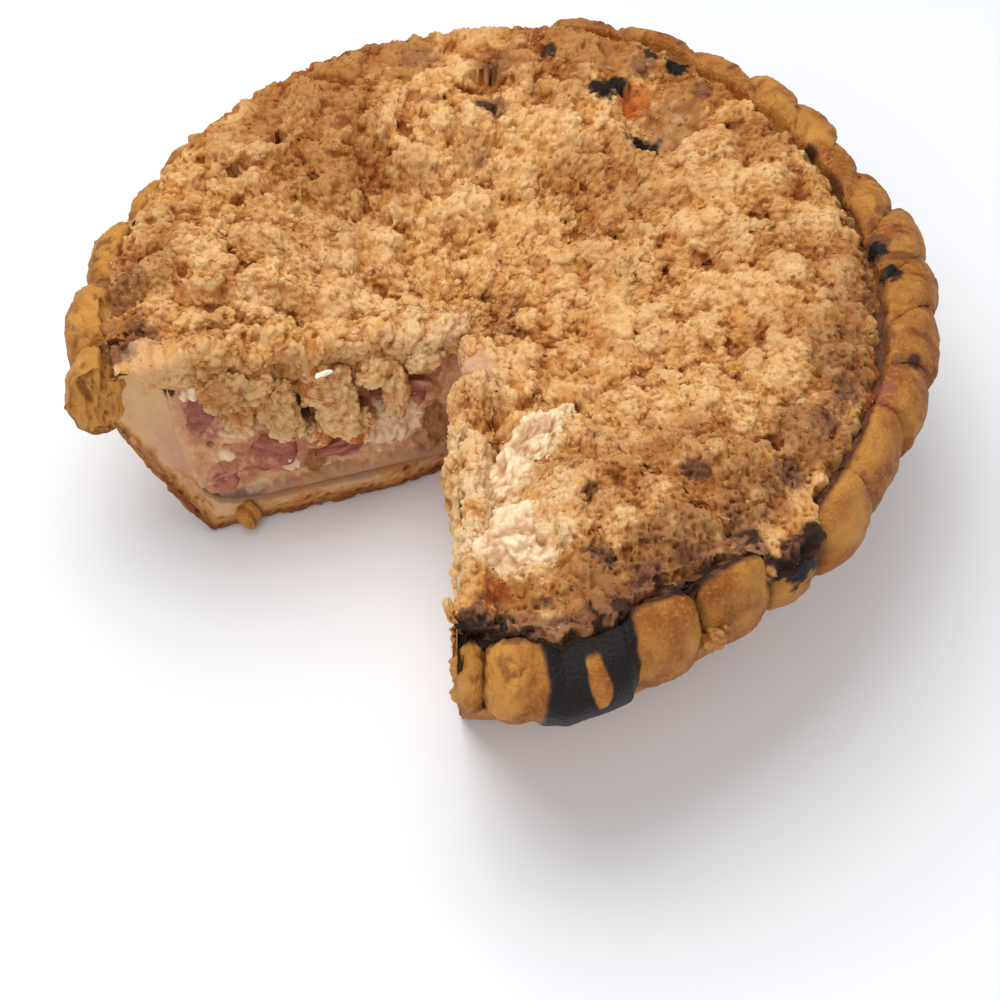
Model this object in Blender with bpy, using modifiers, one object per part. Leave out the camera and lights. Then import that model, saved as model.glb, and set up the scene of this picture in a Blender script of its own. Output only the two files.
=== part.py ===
"""Rhubarb custard pie, baked in a deep pan, with one slice taken out.

The crust is a turned shell with a crimped rim, the custard fills it, and a crumb topping lies on both.
Every size is in millimetres. The mesh helpers turn millimetres into metres.
The origin is the middle of the underside, +Z is up, and the cut opens towards -X and -Y.
"""

import math

import bmesh
import bpy
import numpy as np

MM = 0.001
GAP = 0.35

# Crust: a pan shape with a thick top, and a rim that lies outside the pan's edge
BASE_RADIUS = 89.0
NECK_RADIUS = 110.5
RIM_RADIUS = 122.5
RIM_FOOT = 52.5
RIM_TOP = 77.0
FLOOR_TOP = 7.5
PAN_STEPS = 48
CRIMP_STEPS = 4
CRIMP_FROM = 103.0
CRIMP_DEPTH = 6.0
CRIMP_DIP = 6.0
CRIMP_SLANT = 5.0

# Each crimp: where it starts in degrees round the pie, how far out it reaches, and how high it stands
CRIMPS = [
    (-95.0, 118.5, 76), (-91.5, 125.0, 78), (-84.5, 126.5, 73), (-79.5, 124.5, 76), (-74.0, 120.5, 82),
    (-63.5, 117.5, 83), (-52.0, 117.5, 75), (-43.0, 119.5, 80), (-33.0, 118.0, 79), (-20.0, 121.0, 79),
    (-12.0, 123.5, 79), (-2.5, 126.0, 79), (6.0, 127.5, 79), (15.0, 125.0, 78), (23.0, 122.0, 80),
    (30.0, 126.5, 80), (38.5, 127.5, 80), (46.5, 124.5, 80), (57.0, 126.0, 80), (68.5, 124.5, 79),
    (81.0, 118.5, 76), (92.0, 114.5, 75), (103.0, 114.0, 75), (116.0, 113.5, 75), (130.0, 113.0, 75),
    (142.0, 116.0, 76), (152.0, 115.0, 77), (162.5, 118.5, 79), (175.0, 120.5, 79), (187.5, 120.5, 80),
    (199.0, 119.0, 76),
]

# Filling: dished under the crumbs
FILL_MIDDLE = 53.0
FILL_EDGE = 65.0
FILL_RADIUS = 93.6

# Missing slice: two faces that meet a little off the middle
APEX = (-9.7, 1.4)
LEFT_FACE_ANGLE = 196.3
FRONT_FACE_ANGLE = 270.0
FACE_LENGTH = 150.0

# Topping: low in the middle, a ring of crumbs near the rim, and a ragged outer edge
CRUMB_MIDDLE = 65.0
CRUMB_RING = 81.0
CRUMB_GRID = 5.5
CRUMB_SEAT = 78.0
CRUMB_EDGE = [
    (-94, 100), (-80, 99), (-70, 98), (-60, 99), (-48, 101), (-30, 101), (-15, 102), (0, 102), (20, 103),
    (40, 105), (55, 107), (66, 110), (80, 109), (95, 107), (115, 107), (140, 106), (155, 105), (170, 106),
    (185, 105), (197, 106),
]

# Larger features of the topping: middle x and y, reach along x and y, and rise or fall
FEATURES = [
    (48, 80, 11, 9, -13), (36, 95, 6, 8, -5), (31, 110, 17, 11, 7), (-5, 92, 7, 11, -6),
    (-77, 50, 5, 5, -7), (-66, 63, 4, 5, -6), (-62, 8, 13, 12, 5), (-7, 72, 11, 9, 4),
    (-30, 100, 34, 13, -4), (74, 34, 14, 14, 3), (84, -8, 12, 16, 3), (60, -60, 14, 12, 3),
    (42, -78, 14, 10, 3), (-88, 18, 12, 16, 3), (-76, 76, 17, 17, -4), (20, 40, 20, 18, -2),
    (-30, -6, 12, 8, 4), (26, -20, 14, 12, 2), (28, -62, 9, 8, 4), (64, 58, 10, 9, 3),
    (6, -44, 9, 12, -3), (3, -78, 13, 14, -4),
]

# Mounds of pale custard where crumbs came away: middle x, y and height, and half sizes along x, y and z
TORN = [((6.0, -44.0, 62.0), (8.5, 12.0, 13.0)), ((3.0, -77.0, 66.0), (12.5, 13.0, 14.0))]

# Crumbs that hang over a face: distance from the apex, height, stand-off, and half sizes along, out, up
LEFT_CRUMBS = [
    (69, 62, 3.0, 7.5, 4.0, 8.0), (66, 52, 3.4, 5.2, 3.2, 9.5), (60, 60, 3.0, 6.0, 3.6, 7.0),
    (55, 52, 4.2, 6.2, 4.2, 10.5), (53, 44, 4.6, 4.8, 3.8, 6.5), (41, 56, 3.6, 7.5, 4.2, 9.0),
    (38, 45, 4.8, 7.4, 4.6, 9.5), (33, 37, 4.2, 5.4, 3.8, 8.0), (44, 38, 3.4, 3.6, 3.0, 5.5),
    (26, 57, 3.2, 6.0, 3.6, 6.0), (21, 48, 3.8, 4.4, 3.6, 12.0), (12, 57, 2.8, 5.5, 3.2, 6.0),
]
FRONT_CRUMBS = [
    (24, 58, 0.2, 6.5, 3.6, 8.5), (34, 55, 0.0, 7.0, 3.6, 9.5), (45, 51, 0.4, 8.0, 4.2, 11.0),
    (53, 56, 0.2, 6.5, 4.2, 9.0), (63, 59, 0.0, 6.5, 3.6, 8.5), (74, 61, 0.2, 7.5, 3.8, 10.0),
    (85, 68, 0.0, 5.0, 3.0, 6.5),
]

# Rhubarb at the faces: face, distance from the apex, height, depth behind the face, half sizes along
# the face, into the pie and up, and lean in degrees
RHUBARB = [
    ("left", 56.5, 27.0, 6.0, 9.0, 10.0, 10.0, 18.0),
    ("left", 72.6, 19.5, 5.0, 5.4, 9.0, 6.0, -14.0),
    ("left", 77.0, 51.5, 5.0, 4.4, 9.0, 11.0, 12.0),
    ("left", 38.0, 22.5, 4.0, 8.5, 8.0, 4.2, -10.0),
    ("left", 17.5, 41.5, 5.0, 11.0, 9.0, 6.8, 28.0),
    ("front", 11.0, 62.0, 3.5, 7.0, 8.0, 6.0, 12.0),
    ("front", 24.0, 28.0, 5.0, 9.5, 10.0, 8.0, -20.0),
    ("front", 47.0, 34.0, 6.0, 12.0, 10.0, 8.5, 15.0),
    ("front", 66.0, 20.5, 5.0, 10.0, 9.0, 6.5, 8.0),
    ("front", 79.0, 46.0, 5.0, 6.0, 9.0, 10.0, -12.0),
]


def smooth(low, high, x):
    """Ease from 0 to 1 as x goes from low to high: 3t^2 - 2t^3."""
    t = np.clip((x - low) / (high - low), 0, 1)
    return t * t * (3 - 2 * t)


def scatter(i, j, seed):
    """Repeatable numbers from 0 to 1 for whole-number cells, as the fraction of a large sine."""
    value = np.sin(i * 127.1 + j * 311.7 + seed * 74.7) * 43758.5453
    return value - np.floor(value)


def lumps(x, y, pitch, reach, seed):
    """Domes on a jittered grid, one in each cell: the highest of size * sqrt(1 - (distance / reach)^2)."""
    column, row = np.floor(x / pitch), np.floor(y / pitch)
    best = np.zeros_like(x)
    for di in (-1, 0, 1):
        for dj in (-1, 0, 1):
            i, j = column + di, row + dj
            size = 0.55 + 0.45 * scatter(i, j, seed)
            dx = x - (i + 0.2 + 0.6 * scatter(i, j, seed + 1)) * pitch
            dy = y - (j + 0.2 + 0.6 * scatter(i, j, seed + 2)) * pitch
            dome = size * np.sqrt(np.clip(1 - (dx * dx + dy * dy) / (reach * size) ** 2, 0, 1))
            best = np.maximum(best, dome)
    return best


def ripple(u, v, wave, seed):
    """Soft unevenness from -1 to 1: the mean of six plane waves with seeded headings and phases."""
    total = 0
    for k in range(6):
        heading = 2 * math.pi * scatter(k, 1, seed)
        phase = 2 * math.pi * scatter(k, 2, seed)
        pace = 2 * math.pi / (wave * (0.7 + 0.8 * scatter(k, 3, seed)))
        total = total + np.sin(pace * (u * math.cos(heading) + v * math.sin(heading)) + phase)
    return total / 3.5


def crimp(angle):
    """Reach, height and swell (0 in a groove, 1 on a crimp) of the rim at angles in degrees."""
    starts = np.array([row[0] for row in CRIMPS])
    angle = (angle - starts[0]) % 360 + starts[0]
    index = np.clip(np.searchsorted(starts, angle, side="right") - 1, 0, len(CRIMPS) - 1)
    after = np.append(starts[1:], starts[0] + 360)[index]
    share = (angle - starts[index]) / (after - starts[index])
    swell = np.clip(4 * share * (1 - share), 0, 1) ** 0.55
    reach = np.array([row[1] for row in CRIMPS])[index]
    height = np.array([row[2] for row in CRIMPS])[index]
    return reach, height, swell


def fill_top(radius):
    """Height of the custard: level in the middle, rising to the crust."""
    return FILL_MIDDLE + (FILL_EDGE - FILL_MIDDLE) * smooth(48, 92, radius)


def crumb_edge(angle):
    """Outer radius of the topping at angles in degrees."""
    angle = (angle - CRUMB_EDGE[0][0]) % 360 + CRUMB_EDGE[0][0]
    return np.interp(angle, [row[0] for row in CRUMB_EDGE], [row[1] for row in CRUMB_EDGE])


def crumb_top(x, y):
    """Height of the topping: a dish and a ring, named features, and lumps of two sizes."""
    radius = np.hypot(x, y)
    angle = np.degrees(np.arctan2(y, x))
    height = CRUMB_MIDDLE + (CRUMB_RING - CRUMB_MIDDLE) * smooth(14, 90, radius) ** 1.2
    for cx, cy, rx, ry, rise in FEATURES:
        height = height + rise * np.exp(-(((x - cx) / rx) ** 2 + ((y - cy) / ry) ** 2) * 1.2)
    height = height + 4.2 * lumps(x, y, 12.5, 9.5, 3) + 2.2 * lumps(x, y, 6.6, 4.6, 11) - 3.2
    edge = crumb_edge(angle) + 1.6 * ripple(x, y, 9, 5)
    inset = np.clip((radius - edge + 9) / 9, 0, 1)
    rounded = CRUMB_SEAT + 0.5 + (height - CRUMB_SEAT - 0.5) * np.sqrt(1 - inset**2)
    height = np.where(inset > 0, np.minimum(height, np.maximum(rounded, CRUMB_SEAT + 0.5)), height)
    return np.minimum(height, np.maximum(CRUMB_SEAT + 2 * (edge - radius), CRUMB_SEAT - 8))


def collection(name):
    """New collection linked to the scene."""
    group = bpy.data.collections.new(name)
    bpy.context.scene.collection.children.link(group)
    return group


def link(name, mesh, group):
    """New object for a mesh, in a collection."""
    obj = bpy.data.objects.new(name, mesh)
    group.objects.link(obj)
    return obj


def freeze(obj):
    """Replace an object's mesh by its evaluated mesh."""
    depsgraph = bpy.context.evaluated_depsgraph_get()
    mesh = bpy.data.meshes.new_from_object(obj.evaluated_get(depsgraph))
    obj.modifiers.clear()
    obj.data = mesh
    return obj


def turned(name, profile, steps, group, closed=False):
    """Body of revolution from a profile of radius and height: from axis to axis, or a closed loop."""
    mesh = bpy.data.meshes.new(name)
    points = [(radius * MM, 0, height * MM) for radius, height in profile]
    edges = [(k, k + 1) for k in range(len(points) - 1)]
    if closed:
        edges.append((len(points) - 1, 0))
    mesh.from_pydata(points, edges, [])
    obj = link(name, mesh, group)
    screw = obj.modifiers.new("turn", "SCREW")
    screw.steps = screw.render_steps = steps
    screw.use_merge_vertices = True
    screw.merge_threshold = 0.0001
    freeze(obj)
    work = bmesh.new()
    work.from_mesh(obj.data)
    bmesh.ops.recalc_face_normals(work, faces=work.faces)
    work.to_mesh(obj.data)
    work.free()
    return obj


def reshape(obj, rule):
    """Move an object's vertices by a rule on an array of points in millimetres."""
    mesh = obj.data
    points = np.empty(len(mesh.vertices) * 3)
    mesh.vertices.foreach_get("co", points)
    points = points.reshape(-1, 3) / MM
    mesh.vertices.foreach_set("co", (rule(points) * MM).ravel())
    mesh.update()


def combine(obj, operation, other, solver="EXACT"):
    """Boolean with one object or with a whole collection, applied."""
    cut = obj.modifiers.new(operation.lower(), "BOOLEAN")
    cut.operation = operation
    cut.solver = solver
    if isinstance(other, bpy.types.Collection):
        cut.operand_type = "COLLECTION"
        cut.collection = other
    else:
        cut.object = other
    return freeze(obj)


def fuse(obj, group):
    """Boolean union with every object of a collection, which is then removed."""
    combine(obj, "UNION", group, "MANIFOLD")
    for other in list(group.objects):
        bpy.data.objects.remove(other, do_unlink=True)
    bpy.data.collections.remove(group)


def directions(angle):
    """Unit vector along a face, away from the apex, at an angle in degrees."""
    return np.array([math.cos(math.radians(angle)), math.sin(math.radians(angle))])


def face_frame(face):
    """Direction along a face and direction out of it, into the missing slice."""
    if face == "left":
        along = directions(LEFT_FACE_ANGLE)
        return along, np.array([-along[1], along[0]])
    along = directions(FRONT_FACE_ANGLE)
    return along, np.array([along[1], -along[0]])


def slice_cutter(name, out, relief, low, high, pitch, group):
    """Prism over the missing slice: two faces with relief, lofted from rows of points.

    out moves both faces into the slice. relief(face, distance, height) is added to that.
    """
    left, left_out = face_frame("left")
    front, front_out = face_frame("front")
    # the apex moves along the line that stays at the same distance from both faces
    corner = np.linalg.solve(np.array([left_out, front_out]), np.array([out, out])) + APEX
    distances = np.concatenate([np.arange(0, 124, pitch), [FACE_LENGTH]])
    heights = np.linspace(low, high, max(2, round((high - low) / pitch)))
    rows = []
    for height in heights:
        row = []
        for distance in distances[::-1]:
            push = relief("left", distance, height) * smooth(0, 6, distance)
            row.append(corner + left * distance - left_out * -push)
        for distance in distances[1:]:
            push = relief("front", distance, height) * smooth(0, 6, distance)
            row.append(corner + front * distance + front_out * push)
        row.append(corner + (left + front) * FACE_LENGTH)
        rows.append([(x * MM, y * MM, height * MM) for x, y in row])
    work = bmesh.new()
    rings = [[work.verts.new(point) for point in row] for row in rows]
    count = len(rings[0])
    for lower, upper in zip(rings, rings[1:]):
        for k in range(count):
            n = (k + 1) % count
            work.faces.new((lower[k], lower[n], upper[n], upper[k]))
    work.faces.new(rings[0][::-1])
    work.faces.new(rings[-1])
    bmesh.ops.recalc_face_normals(work, faces=work.faces)
    mesh = bpy.data.meshes.new(name)
    work.to_mesh(mesh)
    work.free()
    obj = link(name, mesh, group)
    obj.hide_render = True
    obj.display_type = "WIRE"
    return obj


def blob(name, centre, half, turn, seed, detail, group):
    """Rounded lump: an icosphere with uneven skin, scaled to half sizes and turned about Z and X."""
    work = bmesh.new()
    bmesh.ops.create_icosphere(work, subdivisions=detail, radius=1.0)
    mesh = bpy.data.meshes.new(name)
    work.to_mesh(mesh)
    work.free()
    obj = link(name, mesh, group)
    spin, lean = math.radians(turn[0]), math.radians(turn[1])

    def place(points):
        unit = points * MM
        skin = 1 + 0.16 * ripple(unit[:, 0:1] + 0.6 * unit[:, 2:], unit[:, 1:2] - 0.5 * unit[:, 2:], 1.3, seed)
        body = unit * skin * np.array(half)
        x, y, z = body.T
        x, z = x * math.cos(lean) - z * math.sin(lean), x * math.sin(lean) + z * math.cos(lean)
        x, y = x * math.cos(spin) - y * math.sin(spin), x * math.sin(spin) + y * math.cos(spin)
        return np.stack([x, y, z], 1) + np.array(centre)

    reshape(obj, place)
    return obj


def grow(obj, amount):
    """Push each vertex out along its normal, in millimetres."""
    normals = np.empty(len(obj.data.vertices) * 3)
    obj.data.vertices.foreach_get("normal", normals)
    normals = normals.reshape(-1, 3)
    reshape(obj, lambda points: points + normals * amount)


def at_face(face, distance, height, out):
    """Point beside a face: distance from the apex, height, and stand-off into the missing slice."""
    along, outward = face_frame(face)
    x, y = np.array(APEX) + along * distance + outward * out
    return x, y, height


def crust_relief(face, distance, height):
    """Flaky layers in the cut rim, a smoother cut through the wall, and a floor that juts out on the left."""
    rim = smooth(92, 100, distance)
    foot = 2.6 * smooth(11, 5, height) * smooth(88, 76, distance) * smooth(4, 24, distance) * (face == "left")
    layers = 0.9 * rim * math.sin(distance * 1.9 + height * 0.25)
    return layers + 0.35 * ripple(distance, height, 12, 21) + foot


def custard_relief(face, distance, height):
    """Torn, lumpy custard."""
    return 1.0 * ripple(distance, height, 15, 31 + len(face))


def crumb_relief(face, distance, height):
    """Ragged edge of the topping, which reaches less far out over the front face."""
    return 1.5 * ripple(distance, height * 0.7, 13, 41 + len(face)) - (1.2 if face == "front" else 0.0)


def no_relief(face, distance, height):
    """Plain face."""
    return 0.0


def wall_rule(points):
    """Slight unevenness of the pan's outer wall."""
    x, y, z = points.T
    radius = np.hypot(x, y)
    outside_wall = BASE_RADIUS + (NECK_RADIUS - BASE_RADIUS) * z / 56
    wall = smooth(-3, -1, radius - outside_wall) * smooth(3, 12, z) * (1 - smooth(50, 56, z))
    scale = 1 + wall * 0.5 * ripple(np.degrees(np.arctan2(y, x)) * 1.9, z, 15, 52) / np.maximum(radius, 1)
    return np.stack([x * scale, y * scale, z], 1)


def rim_rule(points):
    """Crimps: the ring is scaled to each crimp's reach and height, less a groove between two crimps."""
    x, y, z = points.T
    radius = np.hypot(x, y)
    angle = np.degrees(np.arctan2(y, x))
    reach, height, swell = crimp(angle)
    share = np.clip((radius - CRIMP_FROM) / (RIM_RADIUS - CRIMP_FROM), 0, 1.2)
    new_radius = radius + share * (reach - RIM_RADIUS - CRIMP_DEPTH * (1 - swell))
    upper = np.clip((z - 62) / (RIM_TOP - 62), 0, 1)
    inside = smooth(CRIMP_FROM, CRIMP_FROM + 6, radius)
    lift = upper * inside * (height - RIM_TOP - CRIMP_DIP * (1 - swell))
    lift = lift + 0.5 * inside * ripple(x, y, 7, 51)
    covered = radius < crumb_edge(angle) + 3
    lift = np.where(covered, np.minimum(lift, CRUMB_SEAT - GAP - 0.2 - z), lift)
    slant = np.radians(CRIMP_SLANT) * smooth(-25, 0, angle) * (1 - smooth(60, 90, angle))
    turn = np.arctan2(y, x) + slant * (radius - 113) / 10
    return np.stack([new_radius * np.cos(turn), new_radius * np.sin(turn), z + lift], 1)


def spread_steps(points):
    """Turn evenly spaced rings of points so that each crimp takes the same number of them."""
    starts = np.array([row[0] for row in CRIMPS] + [CRIMPS[0][0] + 360])
    x, y, z = points.T
    radius = np.hypot(x, y)
    share = np.degrees(np.arctan2(y, x)) % 360 / 360 * len(CRIMPS)
    angle = np.radians(np.interp(share, np.arange(len(starts)), starts))
    return np.stack([radius * np.cos(angle), radius * np.sin(angle), z], 1)


def make_crust(group, tools):
    """Turned pan and crimped rim in one, less the slice, with one loose flake at the foot of the cut."""
    pan = [
        (0, FLOOR_TOP), (76, FLOOR_TOP), (84.5, 10), (88.5, 15), (91.4, 24), (93.5, 44), (94.2, 61),
        (96.5, 69.5), (101.5, 75.2), (106, 74.8), (109, 66), (NECK_RADIUS, 56), (107.6, 48), (99, 21), (93, 7),
        (BASE_RADIUS, 0), (0, 0),
    ]
    crust = turned("pastry_shell", pan, PAN_STEPS, group)
    reshape(crust, wall_rule)
    rim = [
        (102.5, 73), (106.5, 76.4), (112.5, RIM_TOP), (118.5, 74.2), (RIM_RADIUS, 66.5), (121, 57.5),
        (115.5, RIM_FOOT), (109, 55.2),
    ]
    ring = collection("rim")
    crimped = turned("crimped_rim", rim, CRIMP_STEPS * len(CRIMPS), ring, closed=True)
    reshape(crimped, lambda points: rim_rule(spread_steps(points)))
    fuse(crust, ring)
    combine(crust, "DIFFERENCE", slice_cutter("crust_cut", 0.0, crust_relief, -4, 92, 6.5, tools), "MANIFOLD")
    flakes = collection("crust_flakes")
    blob("flake", at_face("left", 68, 3.7, 1.6), (3.4, 4.6, 3.4), (16, 8), 61, 2, flakes)
    fuse(crust, flakes)
    return crust


def make_chunks(group, tools):
    """Rhubarb pieces, cut flush a little proud of the custard, and their pockets."""
    cutter = slice_cutter("rhubarb_cut", 0.5, no_relief, -20, 120, 40.0, tools)
    chunks, pockets = [], []
    for number, (face, distance, height, depth, along, inward, up, lean) in enumerate(RHUBARB, 1):
        centre = at_face(face, distance, height, -depth)
        turn = (LEFT_FACE_ANGLE if face == "left" else FRONT_FACE_ANGLE, lean)
        half = (along, inward, up)
        chunks.append(blob(f"rhubarb_piece_{number:02d}", centre, half, turn, 70 + number, 2, group))
        pockets.append(blob(f"pocket_{number:02d}", centre, half, turn, 70 + number, 2, tools))
        grow(pockets[-1], GAP)
        if height + up < CRUMB_MIDDLE - 1:
            combine(chunks[-1], "DIFFERENCE", cutter)
    return chunks, pockets


def make_filling(group, tools, pockets):
    """Custard inside the crust, with mounds where the crumbs came away, cut and pocketed."""
    rings = [(radius, float(fill_top(radius))) for radius in (0, 50, 62, 74, 84)]
    profile = rings + [
        (FILL_RADIUS, FILL_EDGE), (93.7, 61), (93.05, 44), (91.0, 24.1), (88.1, 15.3), (84.2, 10.4),
        (76, FLOOR_TOP + GAP), (0, FLOOR_TOP + GAP),
    ]
    filling = turned("custard_filling", profile, 48, group)
    mounds = collection("mounds")
    for number, (centre, half) in enumerate(TORN):
        blob(f"mound_{number}", centre, half, (0, 0), 81 + number, 2, mounds)
    fuse(filling, mounds)
    combine(filling, "DIFFERENCE", slice_cutter("custard_cut", 0.0, custard_relief, 4, 78, 8.2, tools))
    for pocket in pockets:
        combine(filling, "DIFFERENCE", pocket, "MANIFOLD")
    return filling


def clearance(tools):
    """Everything under the topping, with its gap: custard and crust as one turned body, less the slice."""
    rings = [(radius, float(fill_top(radius)) + GAP) for radius in (0, 50, 62, 74, 84)]
    profile = rings + [
        (93.0, FILL_EDGE + GAP), (95.2, 69.8), (100.2, 75.8), (106.0, CRUMB_SEAT), (180, CRUMB_SEAT),
        (180, -10), (0, -10),
    ]
    body = turned("under_topping", profile, 40, tools)
    combine(body, "DIFFERENCE", slice_cutter("under_cut", 1.5, no_relief, -30, 140, 40.0, tools))
    return body


def make_topping(group, tools, pockets):
    """Bumpy layer over custard and crust, with crumbs that hang over both faces."""
    work = bmesh.new()
    cells = round(236 / CRUMB_GRID)
    bmesh.ops.create_grid(work, x_segments=cells, y_segments=cells, size=118 * MM)
    left_out, front_out = face_frame("left")[1], face_frame("front")[1]
    outside = []
    for vert in work.verts:
        x, y = vert.co.x / MM, vert.co.y / MM
        away = np.array((x, y)) - APEX
        past_edge = math.hypot(x, y) > crumb_edge(math.degrees(math.atan2(y, x))) + 1.5 * CRUMB_GRID
        in_slice = min(away @ left_out, away @ front_out) > 3 * CRUMB_GRID
        if past_edge or in_slice:
            outside.append(vert)
    bmesh.ops.delete(work, geom=outside, context="VERTS")
    mesh = bpy.data.meshes.new("crumb_topping")
    top = bmesh.ops.extrude_face_region(work, geom=work.faces[:])
    raised = [item for item in top["geom"] if isinstance(item, bmesh.types.BMVert)]
    bmesh.ops.translate(work, verts=raised, vec=(0, 0, MM))
    bmesh.ops.recalc_face_normals(work, faces=work.faces)
    work.to_mesh(mesh)
    work.free()
    topping = link("crumb_topping", mesh, group)

    def relief(points):
        x, y, z = points.T
        under = np.where(np.hypot(x, y) < 94, fill_top(np.hypot(x, y)) - 1.5, CRUMB_SEAT - 12)
        return np.stack([x, y, np.where(z > 0.5, crumb_top(x, y), under)], 1)

    reshape(topping, relief)
    combine(topping, "DIFFERENCE", slice_cutter("crumb_cut", 2.6, crumb_relief, 46, 102, 7.0, tools), "MANIFOLD")
    hanging = collection("hanging_crumbs")
    for face, rows in (("left", LEFT_CRUMBS), ("front", FRONT_CRUMBS)):
        turn = LEFT_FACE_ANGLE if face == "left" else FRONT_FACE_ANGLE
        for number, (distance, height, out, along, across, up) in enumerate(rows):
            centre = at_face(face, distance, height, out)
            blob(f"{face}_crumb_{number}", centre, (along, across, up), (turn, 0), 91 + number, 2, hanging)
    fuse(topping, hanging)
    combine(topping, "DIFFERENCE", clearance(tools), "MANIFOLD")
    for number, (centre, half) in enumerate(TORN):
        hole = blob(f"torn_{number}", centre, half, (0, 0), 81 + number, 2, tools)
        grow(hole, GAP)
        combine(topping, "DIFFERENCE", hole, "MANIFOLD")
    for pocket, row in zip(pockets, RHUBARB):
        if row[2] > FILL_MIDDLE:
            combine(topping, "DIFFERENCE", pocket, "MANIFOLD")
    return topping


def keep_largest(obj):
    """Drop loose scraps that a cut leaves beside the main body."""
    work = bmesh.new()
    work.from_mesh(obj.data)
    unseen = set(work.verts)
    bodies = []
    while unseen:
        stack = [unseen.pop()]
        body = set(stack)
        while stack:
            for edge in stack.pop().link_edges:
                for vert in edge.verts:
                    if vert in unseen:
                        unseen.remove(vert)
                        body.add(vert)
                        stack.append(vert)
        bodies.append(body)
    bodies.sort(key=len)
    scraps = [vert for body in bodies[:-1] for vert in body]
    bmesh.ops.delete(work, geom=scraps, context="VERTS")
    work.to_mesh(obj.data)
    work.free()


def finish(obj, colour, roughness):
    """Principled material in the sub-part's colour, and smooth shading with sharp creases."""
    material = bpy.data.materials.new(obj.name)
    material.use_nodes = True
    shader = material.node_tree.nodes["Principled BSDF"]
    shader.inputs["Base Color"].default_value = (*colour, 1)
    shader.inputs["Roughness"].default_value = roughness
    shader.inputs["Metallic"].default_value = 0.0
    obj.data.materials.clear()
    obj.data.materials.append(material)
    obj.data.shade_smooth()
    obj.data.set_sharp_from_angle(angle=math.radians(40))


def main():
    """Build every piece of the pie."""
    for obj in list(bpy.data.objects):
        bpy.data.objects.remove(obj, do_unlink=True)
    pie = collection("rhubarb_custard_pie")
    tools = collection("cutters")
    crust = make_crust(pie, tools)
    chunks, pockets = make_chunks(pie, tools)
    filling = make_filling(pie, tools, pockets)
    topping = make_topping(pie, tools, pockets)
    for obj in [crust, filling, topping] + chunks:
        keep_largest(obj)
    finish(crust, (0.50, 0.24, 0.07), 0.55)
    finish(filling, (0.80, 0.58, 0.40), 0.35)
    finish(topping, (0.66, 0.39, 0.16), 0.85)
    for chunk in chunks:
        finish(chunk, (0.42, 0.15, 0.13), 0.4)
    for tool in list(tools.objects):
        tool.hide_render = True
        tool.display_type = "WIRE"


main()
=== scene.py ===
"""Looks of the rhubarb custard pie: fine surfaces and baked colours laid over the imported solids.

Every size is in millimetres, in the pie's own frame: origin in the middle of the underside, +Z up, and
the missing slice towards -X and -Y. The mesh maker turns millimetres into metres.
Surfaces are grids of points worked out with numpy. Numbers from 0 to 1 at the points, such as how deep a
crevice is or how brown a spot is, go to the materials as attributes.
"""

import math

import bpy
import numpy as np
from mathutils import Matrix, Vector


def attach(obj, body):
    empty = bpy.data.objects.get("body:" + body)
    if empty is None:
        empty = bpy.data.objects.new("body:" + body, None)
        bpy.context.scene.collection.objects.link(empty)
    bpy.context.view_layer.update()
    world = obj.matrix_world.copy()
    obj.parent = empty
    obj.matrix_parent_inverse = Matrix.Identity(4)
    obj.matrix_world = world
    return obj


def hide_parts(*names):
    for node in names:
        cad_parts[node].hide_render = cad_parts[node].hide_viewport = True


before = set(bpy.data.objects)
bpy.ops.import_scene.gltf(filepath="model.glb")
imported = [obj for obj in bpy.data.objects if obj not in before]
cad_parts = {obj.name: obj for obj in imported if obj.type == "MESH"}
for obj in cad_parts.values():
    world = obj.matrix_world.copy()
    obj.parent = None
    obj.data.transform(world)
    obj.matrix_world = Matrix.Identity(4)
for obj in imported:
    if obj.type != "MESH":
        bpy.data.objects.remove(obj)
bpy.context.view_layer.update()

MM = 0.001

# Camera: its place and its aim in millimetres, and its lens
CAMERA_PLACE = (0.0, -379.9, 504.4)
CAMERA_AIM = (1.0, -41.6, 40.0)
LENS = 74.08

# Crust, and the section of the rim before it is crimped, as radius and height
FLOOR_TOP = 7.5
RIM_RADIUS = 122.5
RIM_MIDDLE = 113.0
RIM_TOP = 77.0
RIM_PROFILE = [
    (102.5, 73), (106.5, 76.4), (112.5, 77), (118.5, 74.2), (122.5, 66.5), (121, 57.5), (115.5, 52.5),
    (109, 55.2),
]

# Crimps: radius they begin at, how far in and how far down a groove lies between two, slant in degrees
# for each 10 mm outward, and height above which the rim is lifted or lowered
CRIMP_FROM = 103.0
CRIMP_DEPTH = 6.0
CRIMP_DIP = 6.0
CRIMP_SLANT = 5.0
LIFT_FROM = 62.0

# Each crimp: where it starts in degrees round the pie, how far out it reaches, and how high it stands
CRIMPS = np.array([
    (-95.0, 122.0, 76), (-91.5, 125.0, 78), (-84.5, 126.5, 73), (-79.5, 124.5, 76), (-74.0, 120.5, 82),
    (-63.5, 117.5, 83), (-52.0, 117.5, 75), (-43.0, 119.5, 80), (-33.0, 118.0, 79), (-20.0, 121.0, 79),
    (-12.0, 123.5, 79), (-2.5, 126.0, 79), (6.0, 127.5, 79), (15.0, 125.0, 78), (23.0, 122.0, 80),
    (30.0, 126.5, 80), (38.5, 127.5, 80), (46.5, 124.5, 80), (57.0, 126.0, 80), (68.5, 124.5, 79),
    (81.0, 118.5, 76), (92.0, 114.5, 75), (103.0, 114.0, 75), (116.0, 113.5, 75), (130.0, 113.0, 75),
    (142.0, 116.0, 76), (152.0, 115.0, 77), (162.5, 118.5, 79), (175.0, 120.5, 79), (187.5, 120.5, 80),
    (199.0, 119.0, 76),
])

# Top of the wall in the looks, which the rim hides
WALL_TOP = 71.0

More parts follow.
